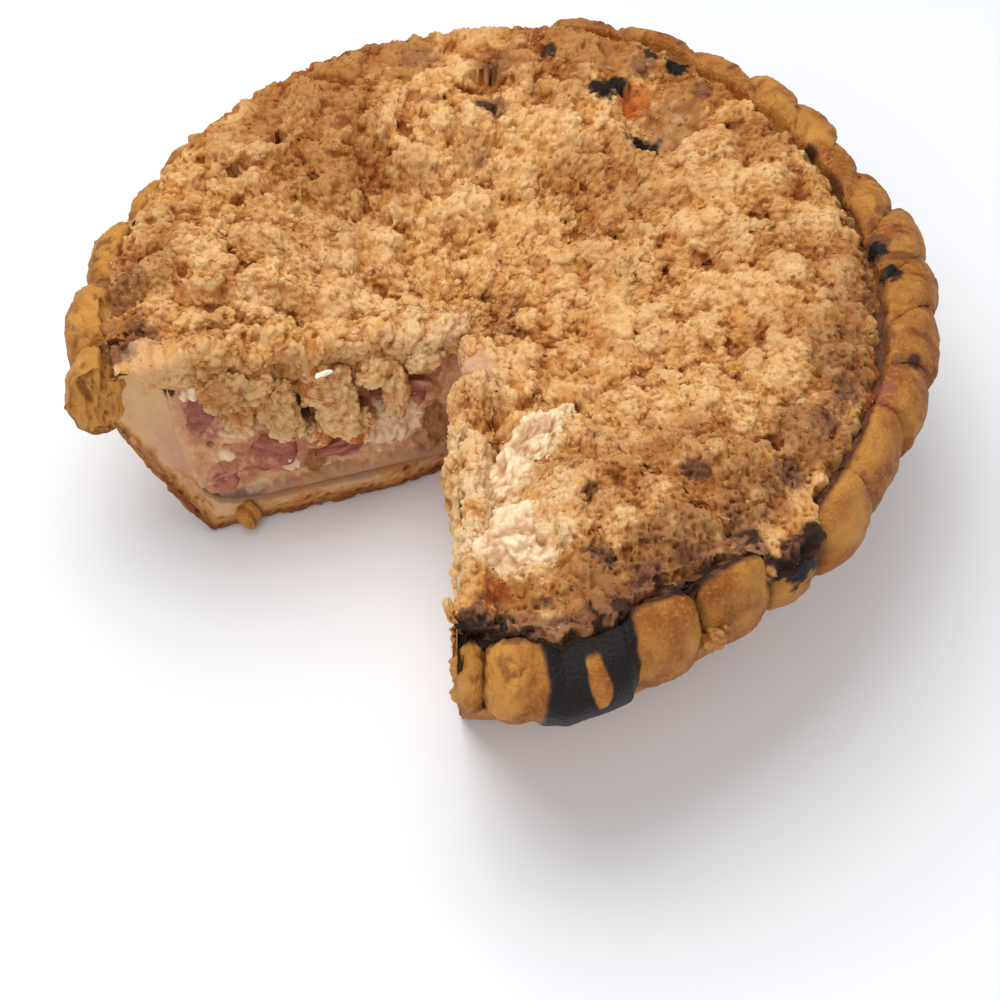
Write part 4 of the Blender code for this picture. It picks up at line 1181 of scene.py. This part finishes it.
def make_custard():
    """Filling as a closed block: two detailed faces, a floor, a wall and a dished top with shared edges."""
    start = np.hypot(*APEX)
    radius = np.concatenate([
        np.linspace(start, 76, 150), np.linspace(76, 88, 36)[1:], np.linspace(88, 93.5, 60)[1:],
    ])
    share = np.linspace(0, 1, 48)
    level = np.linspace(0, 1, 112)

    def place(at, across, up):
        """Point at a share round the pie, a radius and a share of the height."""
        flat = pie_place(at, across)
        true_radius = np.hypot(flat[..., 0], flat[..., 1])
        low = np.interp(true_radius, FILL_FOOT_RADII, FILL_FOOT_HEIGHTS)
        high = np.minimum(fill_top(true_radius), FILL_EDGE) - 0.2
        height = low + up * (high - low)
        point = np.concatenate([flat, height[..., None]], -1)
        masks = full_masks(CUSTARD_MASKS, height, pink=np.full(height.shape, 0.2))
        for face, at_face in (("front", 0.0), ("left", 1.0)):
            here = at == at_face
            along, outward = face_frame(face)
            distance = (flat - APEX) @ along
            relief, face_masks = custard_face(face, distance, height)
            relief = relief * smooth(0, 5, distance) * smooth(0, 1.5, height - low + 1.0)
            point[..., :2] += (here * relief)[..., None] * outward
            masks = {key: np.where(here, face_masks[key], value) for key, value in masks.items()}
        return point, masks

    parts = []
    face_grid = np.meshgrid(radius, level, indexing="ij")
    for at in (0.0, 1.0):
        parts.append(place(np.full(face_grid[0].shape, at), *face_grid))
    rows = np.meshgrid(share, radius, indexing="ij")
    for up in (0.0, 1.0):
        parts.append(place(*rows, np.full(rows[0].shape, up)))
    wall = np.meshgrid(share, level, indexing="ij")
    parts.append(place(wall[0], np.full(wall[0].shape, radius[-1]), wall[1]))
    pieces = []
    for (grid, masks), flip in zip(parts, (True, False, True, False, False)):
        faces = cells(*grid.shape[:2])
        faces = faces[:, ::-1] if flip else faces
        pieces.append((grid.reshape(-1, 3), faces, flat_masks(masks, grid.shape[:2])))
    dress(add_mesh("baked_custard", *join(pieces), CUSTARD), "custard", "custard_filling")


def make_rhubarb():
    """Pieces of rhubarb: ellipsoids with fibres along them, cut off a little proud of the face."""
    for number, (face, distance, height, depth, along, inward, up, lean) in enumerate(RHUBARB, 1):
        pale = number == PALE_PIECE
        centre = on_face(face, distance, height, -depth) + np.array(PALE_SHIFT) * pale
        grid = blob_grid(centre, (along, inward, up), (face_turn(face), lean), 70 + number, 70, 100)
        direction, outward = face_frame(face)
        shift = grid - centre
        beside = (grid[..., :2] - APEX) @ outward
        length = shift[..., :2] @ direction
        tilt = math.radians(lean)
        lengthwise = length * math.cos(tilt) + shift[..., 2] * math.sin(tilt)
        crosswise = -length * math.sin(tilt) + shift[..., 2] * math.cos(tilt)
        strand = np.stack([lengthwise * 0.22, crosswise, beside * 0.6], -1)
        fibre = rough(strand + 0.6 * drift(grid, 4.0, 300 + number), 1.7, 310 + number)
        torn = rough(grid, 5.0, 320 + number, 2)
        normal = closed_normals(grid)
        facet, _ = grains(grid + 1.5 * drift(grid, 5.0, 330), 5.5, 335, 0.9)
        moved = grid + normal * (0.6 * fibre + 1.1 * torn + (1.8 * facet - 1.2) * pale)[..., None]
        hold_back(moved, face, 1.0 + 1.3 * torn + 0.7 * fibre - 1.5 * pale)
        masks = {"fibre": smooth(-0.6, 0.7, fibre), "cream": 0.8 * smooth(0.25, 0.7, torn)}
        if pale:
            masks["cream"] = 0.75 + 0.25 * smooth(-0.2, 0.4, torn)
        add_tube(f"rhubarb_flesh_{number:02d}", moved, masks, FLESH, "rhubarb", f"rhubarb_piece_{number:02d}")


# Crust


def run_along(rows):
    """Length of a line of points from its start to each of them."""
    return np.concatenate([[0], np.cumsum(np.linalg.norm(np.diff(rows, axis=0), axis=1))])


def at_runs(at, run, rows):
    """Points between rows at given lengths, where run is the length at each row."""
    return np.stack([np.interp(at, run, rows[:, k]) for k in range(2)], -1)


def polyline(rows, count):
    """Points evenly spread along a line through rows."""
    rows = np.array(rows, float)
    run = run_along(rows)
    return at_runs(np.linspace(0, run[-1], count), run, rows)


def make_pan():
    """Floor and wall of the crust: the inner profile out and up and the outer one back, carried round."""
    inner = polyline(PAN_INNER + [(104.5, WALL_TOP)], 60)
    outer = polyline([(107.0, WALL_TOP)] + PAN_OUTER[-2::-1], 90)
    profile = np.concatenate([inner, outer])
    share = np.linspace(0, 1, 420)[:, None]
    flat = pie_place(share, profile[None, :, 0])
    height = np.broadcast_to(profile[None, :, 1], flat.shape[:2])
    grid = np.concatenate([flat, height[..., None]], -1)
    radius, angle = polar(flat[..., 0], flat[..., 1])
    wall = smooth(-3, -1, radius - (89 + 21.5 * height / 56)) * smooth(3, 10, height)
    wall = wall * (1 - smooth(50, 56, height))
    direction = flat / np.maximum(radius, 1)[..., None]
    relief = 0.5 * ripple(angle * 1.9, height, 15, 52)
    relief = relief + 0.35 * rough(grid, 9.0, 400) + 0.18 * rough(grid, 2.5, 410)
    grid[..., :2] += (wall * relief)[..., None] * direction
    fleck = rough(grid, 14.0, 420)
    bake = np.clip(0.45 + 0.5 * fleck + 0.35 * smooth(20, 4, height), 0, 1)
    groove = 0.35 * smooth(0.3, 0.8, rough(grid, 6.0, 430))
    mauve = 0.4 * smooth(0.35, 0.7, rough(grid, 18.0, 440))
    masks = full_masks(SKIN_MASKS, bake, bake=bake, groove=groove, mauve=mauve)
    n, m = grid.shape[:2]
    faces = outward_faces(grid.reshape(-1, 3), cells(n, m, wrap=True))
    masks = flat_masks(masks, (n, m))
    obj = add_mesh("crust_wall", grid.reshape(-1, 3), faces, masks, SKIN, end_loops(n, m))
    dress(obj, "baked_crust", "pastry_shell")


def make_cut(face):
    """Cut through the crust: a thin plate whose front shows dough, skin and the soggy layer."""
    inner, outer = np.array(PAN_INNER, float), np.array(PAN_OUTER, float)
    inner[0], outer[0] = (np.hypot(*APEX), FLOOR_TOP), (np.hypot(*APEX), 0)
    run = run_along((inner + outer) / 2)
    along = np.linspace(0, run[-1], 420)[:, None]
    inside, outside = at_runs(along[:, 0], run, inner), at_runs(along[:, 0], run, outer)
    thick = np.linalg.norm(outside - inside, axis=1)[:, None]
    inside = inside + (inside - outside) / thick * 1.2
    thick = thick + 1.2
    through = np.linspace(0, 1, 34)[None, :]
    radius = inside[:, :1] * (1 - through) + outside[:, :1] * through
    height = inside[:, 1:] * (1 - through) + outside[:, 1:] * through
    depth = (1 - through) * thick
    layer = np.stack([along * 0.25 + 0 * depth, depth * 1.1, 0 * depth + len(face)], -1)
    flakes = rough(layer + 0.5 * drift(layer, 3.0, 500), 1.6, 510)
    pores, _ = grains(np.stack([along * 0.6 + 0 * depth, depth, 0 * depth], -1), 1.7, 520, 0.55)
    wall = smooth(70, 95, along)
    skin = 7.2 - 4.2 * smooth(16, 50, height) + 1.4 * flakes
    bake = np.clip(1.25 - depth / skin + 0.7 * flakes, 0, 1)
    soggy = smooth(1.6, 0.6, through * thick + 0.8 * flakes) * smooth(96, 84, along)
    step = (outside - inside) / thick
    ragged = (0.9 * rough(along[:, [0, 0, 0]] * (1, 0, 0), 2.6, 540)[:, None] - 0.1) * smooth(2.2, 0.2, depth)
    radius = radius + ragged * step[:, :1]
    height = np.maximum(height + ragged * step[:, 1:], 0)
    distance = face_distance(face, radius)
    foot = 2.6 * smooth(11, 5, height) * smooth(88, 76, distance) * smooth(4, 24, distance)
    out = 0.45 + 0.9 * flakes * (0.2 + 1.3 * bake) + 0.3 * rough(layer, 6.0, 530)
    out = out - 1.1 * pores * (0.15 + bake)
    out = out - 0.9 * smooth(0.8, 0.0, depth) - 0.5 * smooth(0.6, 0.0, through * thick)
    out = out + foot * (face == "left")
    masks = {
        "bake": bake,
        "soggy": soggy,
        "pink": 0.8 * smooth(66, 40, height) * wall * smooth(0.9, 0.2, through),
        # Pores sunk into the baked skin, painted dark as shade
        "pit": 0.9 * smooth(0.3, 0.7, pores) * np.clip(1.3 * bake - 0.2, 0, 1),
    }
    front = on_face(face, distance, height, out)
    ends = np.full((len(along), 2), -1.5)
    back = on_face(face, distance[:, [-1, 0]], height[:, [-1, 0]], ends)
    grid = np.concatenate([front, back], 1)
    masks = {key: np.concatenate([value, value[:, [-1, 0]]], 1) for key, value in masks.items()}
    n, m = grid.shape[:2]
    faces = cells(n, m, wrap=True)
    a, b, c = (grid.reshape(-1, 3)[faces[:, k]] for k in range(3))
    facing = (np.cross(b - a, c - a)[: m - 3] @ np.append(face_frame(face)[1], 0)).sum() > 0
    caps = end_loops(n, m)
    if not facing:
        faces, caps = faces[:, ::-1], [cap[::-1] for cap in caps]
    obj = add_mesh(f"crust_cut_{face}", grid.reshape(-1, 3), faces, flat_masks(masks, (n, m)), DOUGH, caps)
    dress(obj, "baked_crust", "pastry_shell")


def closed_curve(rows, count):
    """Smooth closed curve through rows: Catmull-Rom pieces."""
    rows = np.array(rows, float)
    at = np.linspace(0, len(rows), count, endpoint=False)
    k = np.floor(at).astype(int)
    t = (at - k)[:, None]
    p0, p1, p2, p3 = (rows[(k + step) % len(rows)] for step in (-1, 0, 1, 2))
    return 0.5 * (2 * p1 + (p2 - p0) * t + (2 * p0 - 5 * p1 + 4 * p2 - p3) * t**2
                  + (3 * p1 - p0 - 3 * p2 + p3) * t**3)


def rim_rule(points):
    """Crimps: the ring is scaled to each crimp's reach and height, less a groove between two crimps."""
    x, y, z = np.moveaxis(points, -1, 0)
    radius, angle = polar(x, y)
    reach, height, swell = crimp(angle)
    film = smooth(-87, -84.5, angle) * smooth(-72, -74.5, angle)
    middles = CRIMPS[1:7, 0] + np.diff(CRIMPS[1:8, 0]) / 2
    reach = reach + film * (np.interp(angle, middles, CRIMPS[1:7, 1]) - reach)
    height = height + film * (np.interp(angle, middles, CRIMPS[1:7, 2]) - height)
    rope = smooth(-45, -30, angle) * smooth(95, 75, angle)
    swell = 1 - (1 - swell) * (1 - np.maximum(0.97 * film, 0.62 * rope))
    share = np.clip((radius - CRIMP_FROM) / (RIM_RADIUS - CRIMP_FROM), 0, 1.2)
    new_radius = radius + share * (reach - RIM_RADIUS - CRIMP_DEPTH * (1 - swell))
    upper = np.clip((z - LIFT_FROM) / (RIM_TOP - LIFT_FROM), 0, 1)
    inside = smooth(CRIMP_FROM, CRIMP_FROM + 6, radius)
    lift = upper * inside * (height - RIM_TOP - CRIMP_DIP * (1 - swell))
    covered = smooth(1.0, -0.5, radius - crumb_edge(angle) - np.maximum(skirt_reach(angle), 2.5))
    lift = lift * (1 - covered) + np.minimum(lift, CRUMB_SEAT - 3.2 - z) * covered
    slant = np.radians(CRIMP_SLANT) * smooth(-25, 0, angle) * (1 - smooth(60, 90, angle))
    turn = np.arctan2(y, x) + slant * (radius - RIM_MIDDLE) / 10
    return np.stack([new_radius * np.cos(turn), new_radius * np.sin(turn), z + lift], -1), swell


# Opening in the burnt film: its middle and reach in degrees round the pie, and in height
OVAL_ANGLE, OVAL_REACH = -77.9, 1.25
OVAL_HEIGHT, OVAL_RISE = 69.8, 5.4

# Stains on the rim: x, y, z, reach in millimetres and strength
RIM_CHAR = [
    (79, -86, 74, 6.5, 1.0), (107, 17, 78, 3.2, 1.0), (111, 8, 76, 4.4, 1.0),
    (113, -22, 76, 3.0, 0.8), (91, 56, 78, 3.0, 0.9), (69, -101, 73, 1.6, 0.9), (6, -106, 77, 4.0, 0.9),
    (-2, -104, 77, 4.0, 0.8), (52, 96, 79, 4.0, 0.9), (35, -108, 66, 3.0, 0.8),
]
RIM_PINK = [
    (104, -33, 76, 3.6, 0.9), (106, -29, 76, 3.0, 0.9), (102, -37, 76, 3.0, 0.8), (92, -48, 76, 2.2, 0.7),
    (93, -52, 76, 2.2, 0.7), (94, -56, 75, 2.2, 0.7), (95, -60, 74, 2.2, 0.7), (96, -64, 72, 2.2, 0.7),
    (105, 6, 77, 2.4, 0.4),
]
RIM_MAUVE = [
    (108, 20, 75, 5, 0.8), (110, 34, 75, 3, 0.6), (104, -14, 76, 5, 0.7), (110, -24, 74, 5, 0.6),
    (96, 42, 77, 5, 0.7), (-104, -16, 76, 5, 0.7), (-108, 6, 76, 4, 0.6), (88, -62, 73, 4, 0.7),
]


def rim_end(grid, masks, face):
    """More rings from one end of the rim to its middle, with ragged upright flakes, and painted shade in the
    sunk places between them.
    """
    loop = grid[0] if face == "front" else grid[-1]
    spot = loop.mean(0)
    share = np.linspace(0, 0.94, 22)[1:, None]
    rings = loop[None] * (1 - share[..., None]) + spot * share[..., None]
    deep = np.linalg.norm(loop - spot, axis=-1)[None, :] * share
    bent = rings * (1.4, 1.4, 0.5) + 1.2 * drift(rings, 5.0, 663)
    flakes = 0.7 * rough(bent, 3.0, 665) + 0.6 * rough(bent, 1.5, 668, 2)
    out = (2.6 * flakes + 0.5) * smooth(0, 1.2, deep) + 1.4 * smooth(0.5, 5, deep)
    rings[..., :2] += (out - 0.4)[..., None] * face_frame(face)[1]
    # Painted shade: the sunk places between the flakes are coloured browner and darker
    bake = np.clip(0.1 - 0.9 * flakes + 0.3 * smooth(2.5, 0.5, deep), 0, 1)
    groove = (0.45 if face == "left" else 0.3) * smooth(-0.05, -0.4, flakes)
    end = full_masks(SKIN_MASKS, bake, bake=bake, groove=groove)
    if face == "left":
        return np.concatenate([grid, rings]), {key: np.concatenate([masks[key], end[key]]) for key in end}
    masks = {key: np.concatenate([end[key][::-1], masks[key]]) for key in end}
    return np.concatenate([rings[::-1], grid]), masks


def burnt_film(about, radius, z, points):
    """Burnt juice over the front of the rim: a wavy band from -85 to -73 degrees with an oval opening."""
    wave = 1.1 * rough(points, 7.0, 26)
    start = -85.0 + 1.4 * np.exp(-(((z - 71) / 5) ** 2))
    film = smooth(start - 0.4, start + 0.4, about + wave) * smooth(-72.2, -73.0, about + wave)
    aside = (about - OVAL_ANGLE - 0.06 * (69 - z)) / OVAL_REACH
    oval = np.hypot(aside, (z - OVAL_HEIGHT) / OVAL_RISE) + 0.3 * rough(points, 4.0, 27)
    return film * (1 - smooth(1.15, 0.95, oval) * smooth(115.5, 117.5, radius))


def make_rim(name, first, last, rows):
    """Crimped rim: a smooth closed section carried round, with crimps, creases, blisters and stains, and
    painted shade in its grooves and in the gap under the crumbs.
    """
    loop = closed_curve(RIM_PROFILE, 104)
    share = np.linspace(first, last, rows)[:, None]
    radius = np.broadcast_to(loop[None, :, 0], (rows, len(loop)))
    start, end = face_angle("front", radius), face_angle("left", radius)
    angle = np.radians(start + share * (end - start))
    height = np.broadcast_to(loop[None, :, 1], radius.shape)
    grid, swell = rim_rule(np.stack([radius * np.cos(angle), radius * np.sin(angle), height], -1))
    outward = closed_normals(grid)
    x, y, z = np.moveaxis(grid, -1, 0)
    radius, about = polar(x, y)
    about = np.where(about < -120, about + 360, about)
    crease = rough(np.stack([about * 2.0, radius * 0.4, z * 0.4], -1) + 0.8 * drift(grid, 5.0, 605), 2.6, 610)
    blister, _ = grains(grid + 1.5 * drift(grid, 6.0, 600), 5.0, 620, 0.55)
    right = smooth(-30, -12, about) * smooth(100, 80, about)
    phase = math.pi * (about / 1.9 + 0.09 * radius - 0.05 * z) + 7.0 * rough(grid, 10.0, 625)
    fold = smooth(0.8, 1.0, np.abs(np.sin(phase))) * smooth(-0.4, 0.3, rough(grid, 6.0, 627, 2))
    flaky = smooth(130, 165, about) + smooth(-84, -87, about)
    sheet = rough(np.stack([about * 1.4, radius * 0.7, z * 0.5], -1) + 1.2 * drift(grid, 4.0, 631), 2.0, 630)
    reach = 109 + 2.5 * smooth(-20, -45, about) + 1.0 * smooth(-68, -76, about)
    trough = smooth(reach, reach - 3.5, radius + 0.8 * rough(grid, 3.0, 635)) * smooth(66, 70, z)
    char = np.maximum(stain(grid, RIM_CHAR, 21), burnt_film(about, radius, z, grid))
    rise = 0.5 * rough(grid, 5.0, 640) + 0.35 * crease + 0.4 * blister - 0.3 * right * fold
    rise = rise + 1.1 * flaky * sheet
    rise = rise * (1 - 0.7 * char) + 0.4 * char - 1.6 * trough * smooth(150, 120, about)
    moved = grid + outward * (smooth(103.5, 106, radius) * rise)[..., None]
    for face, middle in (("front", -90), ("left", 195)):
        hold_back(moved, face, 0.3, np.abs(about - middle) < 30)
    # Painted shade in the grooves between crimps, in the sunk fold lines and between flaky sheets; creased is
    # browning on raised creases
    groove = smooth(0.6, 0.05, swell) * smooth(106, 110, radius) * (1 - 0.6 * smooth(120, 160, about))
    creased = smooth(0.15, 0.6, crease) * (0.35 + 0.3 * right)
    fold_shade = 0.28 * fold * right + 0.6 * smooth(-0.15, -0.5, sheet) * flaky
    # Painted shadow in the gap between the crumbs and the crimps: the trough is coloured dark brown and
    # mauve, partly baked juice, and mostly black at the front
    band = trough * (0.95 - 0.6 * smooth(-20, 30, about))
    gap_shade_and_burn = smooth(-0.35, 0.1, rough(grid, 3.0, 655)) * smooth(-15, -45, about)
    masks = {
        # Bake: random browning and browner raised creases; also darker low on the rim and on its right side,
        # and paler at its left end
        "bake": np.clip(0.4 + 1.2 * rough(grid, 9.0, 650) + 0.3 * crease + 0.6 * smooth(70, 58, z)
                        + 0.22 * right - 0.45 * smooth(130, 170, about), 0, 1),
        "groove": np.clip(np.maximum(0.75 * groove, np.maximum(creased, fold_shade)) + 0.7 * trough, 0, 1),
        "pink": stain(grid, RIM_PINK, 23),
        "mauve": np.maximum(stain(grid, RIM_MAUVE, 24), 0.8 * band),
        "char": np.maximum(char, 0.9 * band * gap_shade_and_burn),
    }
    if first == 0.0:
        moved, masks = rim_end(moved, masks, "front")
    if last == 1.0:
        moved, masks = rim_end(moved, masks, "left")
    add_tube(name, moved, masks, SKIN, "baked_crust", "pastry_shell")


def make_flake():
    """Loose flake of crust at the foot of the left face."""
    centre = on_face("left", 68.0, 4.6, 3.4)
    grid = blob_grid(centre, (3.6, 4.4, 5.0), (16, 8), 61, 60, 80)
    outward = closed_normals(grid)
    flakes = rough(grid * (1, 0.5, 0.5), 2.4, 700)
    moved = grid + outward * (1.1 * flakes)[..., None]
    moved[..., 2] = np.maximum(moved[..., 2], 0.0)
    # Painted shade in the sunk places of the flake
    groove = 0.7 * smooth(-0.1, -0.5, flakes)
    masks = full_masks(SKIN_MASKS, flakes, bake=np.clip(0.3 + flakes, 0, 1), groove=groove)
    add_tube("foot_flake", moved, masks, SKIN, "baked_crust", "pastry_shell")


# Loose pieces of crumb: x, y, z, and half sizes
STRAYS = [
    (54.5, -104.0, 66.0, 3.2, 3.0, 3.6), (-11.8, -97.0, 68.5, 1.8, 3.0, 3.4),
    (57.5, -101.5, 68.0, 1.6, 1.4, 1.6), (-9.0, -60.0, 66.5, 1.8, 3.0, 3.0),
    (-10.2, -42.0, 60.0, 1.8, 2.4, 3.4), (102.0, -12.0, 79.5, 2.0, 1.6, 1.4),
]

# Numbers of those with cream and of those that are toasted
PALE_STRAYS = (3, 4)
TOASTED_STRAYS = (0, 2, 5)


def make_strays():
    """Loose lumps of crumb on the rim and at the edge of the front face."""
    parts = []
    for number, (x, y, z, *half) in enumerate(STRAYS):
        grid = blob_grid((x, y, z), half, (20 * number, 10), 131 + number, 44, 56)
        moved, level, tint = crumble(grid, closed_normals(grid), 0.3, 0.8)
        masks = full_masks(CRUMB_MASKS, level, height=0.3 + 0.6 * level, tint=tint)
        masks["cream"] += (number in PALE_STRAYS) * 0.7 * smooth(0.3, 0.6, tint)
        masks["toast"] += (number in TOASTED_STRAYS) * 0.8
        parts.append(tube_parts(moved, masks))
    dress(add_mesh("stray_crumbs", *join(parts), CRUMBS), "crumbs")


def make_white_flake():
    """Small white flake stuck to the crumbs over the left face."""
    centre = on_face("left", 41.6, 64.5, 6.2)
    grid = blob_grid(centre, (2.7, 0.9, 0.9), (face_turn("left"), -14), 151, 40, 50)
    moved = grid + closed_normals(grid) * (0.5 * rough(grid, 1.6, 155))[..., None]
    add_tube("white_flake", moved, {}, SUGAR, "crumbs")


# Scattered crumbs

# Name, count, smallest and largest radius, seed, if rounder, material, and lift as a share of the radius
BITS = [
    ("coarse_crumbs", 1300, 0.45, 1.5, 1, True, CRUMBS, -0.1),
    ("fine_crumbs", 6000, 0.22, 0.6, 2, False, CRUMBS, 0.1),
    ("sugar_grains", 500, 0.12, 0.3, 3, False, SUGAR, 0.5),
]


def icosahedron():
    """Twelve corners and twenty three-cornered faces."""
    golden = (1 + 5**0.5) / 2
    corners = np.array([(-1, golden, 0), (1, golden, 0), (-1, -golden, 0), (1, -golden, 0), (0, -1, golden),
                        (0, 1, golden), (0, -1, -golden), (0, 1, -golden), (golden, 0, -1), (golden, 0, 1),
                        (-golden, 0, -1), (-golden, 0, 1)]) / math.hypot(1, golden)
    faces = np.array([(0, 11, 5), (0, 5, 1), (0, 1, 7), (0, 7, 10), (0, 10, 11), (1, 5, 9), (5, 11, 4),
                      (11, 10, 2), (10, 7, 6), (7, 1, 8), (3, 9, 4), (3, 4, 2), (3, 2, 6), (3, 6, 8),
                      (3, 8, 9), (4, 9, 5), (2, 4, 11), (6, 2, 10), (8, 6, 7), (9, 8, 1)])
    return corners, faces


def rounder(corners, faces):
    """Each triangle cut into four, with the new corners on the unit sphere."""
    middles, new_faces = {}, []
    corners = [tuple(corner) for corner in corners]

    def middle(a, b):
        key = (min(a, b), max(a, b))
        if key not in middles:
            point = (np.array(corners[a]) + np.array(corners[b])) / 2
            middles[key] = len(corners)
            corners.append(tuple(point / np.linalg.norm(point)))
        return middles[key]

    for a, b, c in faces:
        ab, bc, ca = middle(a, b), middle(b, c), middle(c, a)
        new_faces += [(a, ab, ca), (b, bc, ab), (c, ca, bc), (ab, bc, ca)]
    return np.array(corners), np.array(new_faces)


def scatter_bits(surfaces, name, count, small, large, seed, detail, material, lift):
    """Bits on the given surfaces: jagged lumps of random size, with the masks of their place."""
    rng = np.random.default_rng(seed)
    points = np.concatenate([surface[0] for surface in surfaces])
    outward = np.concatenate([surface[1] for surface in surfaces])
    masks = {key: np.concatenate([surface[2][key] for surface in surfaces]) for key in surfaces[0][2]}
    chosen = rng.choice(len(points), count)
    corners, faces = icosahedron()
    if detail:
        corners, faces = rounder(corners, faces)
    size = small + (large - small) * rng.random(count) ** 2.5
    stretch = rng.uniform(0.6, 1.3, (count, 1, 3))
    skin = rng.uniform(0.62, 1.2, (count, len(corners), 1))
    axis = unit(rng.normal(size=(count, 1, 3)))
    turn = rng.uniform(0, 2 * math.pi, (count, 1, 1))
    shape = corners[None] * stretch * skin
    shape = (shape * np.cos(turn) + np.cross(np.broadcast_to(axis, shape.shape), shape) * np.sin(turn)
             + axis * (shape * axis).sum(-1, keepdims=True) * (1 - np.cos(turn)))
    bits = points[chosen][:, None] + outward[chosen][:, None] * (lift * size)[:, None, None]
    bits = bits + shape * size[:, None, None]
    number = (np.arange(count) * len(corners))[:, None, None]
    triangles = (faces[None] + number).reshape(-1, 3)
    quads = np.concatenate([triangles, triangles[:, 2:]], 1)
    values = {key: np.repeat(value[chosen], len(corners)) for key, value in masks.items()}
    values["tint"] = np.repeat(rng.random(count), len(corners))
    values["height"] = np.repeat(rng.uniform(0.35, 0.9, count), len(corners))
    dress(add_mesh(name, bits.reshape(-1, 3), quads, values, material), "crumbs")


# Stage


# Soft lights: name, place, power in watts, width in metres and tint
LAMPS = [
    ("key", (-150, 170, 700), 4.4, 0.6, (1.0, 0.99, 0.97)),
    ("front", (-160, -620, 420), 1.6, 0.6, (1.0, 0.99, 0.97)),
    ("right", (620, 60, 360), 0.7, 0.5, (1.0, 0.99, 0.98)),
]


def set_stage():
    """Pale floor, soft lights and the camera."""
    mesh = bpy.data.meshes.new("floor")
    mesh.from_pydata([(x, y, -0.0002) for x, y in ((-3, -3), (3, -3), (3, 3), (-3, 3))], [], [(0, 1, 2, 3)])
    floor = bpy.data.objects.new("floor", mesh)
    bpy.context.scene.collection.objects.link(floor)
    material, _, shader = new_material("floor_paint", Roughness=0.7)
    shader.inputs["Base Color"].default_value = srgb(240, 243, 248)
    mesh.materials.append(material)
    for name, place, power, width, tint in LAMPS:
        lamp = bpy.data.lights.new(name, "AREA")
        lamp.energy = power
        lamp.size = width
        lamp.color = tint
        obj = bpy.data.objects.new(name, lamp)
        obj.location = Vector(place) * MM
        obj.rotation_euler = (Vector((0, 0, 40)) * MM - obj.location).to_track_quat("-Z", "Y").to_euler()
        bpy.context.scene.collection.objects.link(obj)
    world = bpy.data.worlds.new("studio")
    world.use_nodes = True
    world.node_tree.nodes["Background"].inputs["Color"].default_value = (0.99, 0.99, 1.0, 1)
    world.node_tree.nodes["Background"].inputs["Strength"].default_value = 0.42
    bpy.context.scene.world = world
    bpy.context.scene.view_settings.view_transform = "Standard"
    camera = bpy.data.objects.new("camera", bpy.data.cameras.new("camera"))
    camera.data.lens = LENS
    camera.data.sensor_width = 36
    camera.location = Vector(CAMERA_PLACE) * MM
    aim = Vector(CAMERA_AIM) * MM - camera.location
    camera.rotation_euler = aim.to_track_quat("-Z", "Y").to_euler()
    camera.data.clip_start, camera.data.clip_end = 0.01, 10
    bpy.context.scene.collection.objects.link(camera)
    bpy.context.scene.camera = camera


def make_pie():
    """Every piece of the pie."""
    surfaces = [make_topping(f"topping_{name}", *sector) for name, *sector in SECTORS]
    for face, rows in (("left", LEFT_CRUMBS), ("front", FRONT_CRUMBS)):
        surfaces.append(make_lip(face))
        surfaces += make_hanging(face, rows)
        make_cut(face)
    make_torn()
    make_custard()
    make_rhubarb()
    make_pan()
    make_rim("rim_front", 0.0, 0.5, 800)
    make_rim("rim_back", 0.5, 1.0, 800)
    make_flake()
    make_strays()
    make_white_flake()
    for bits in BITS:
        scatter_bits(surfaces, *bits)


set_stage()
make_pie()
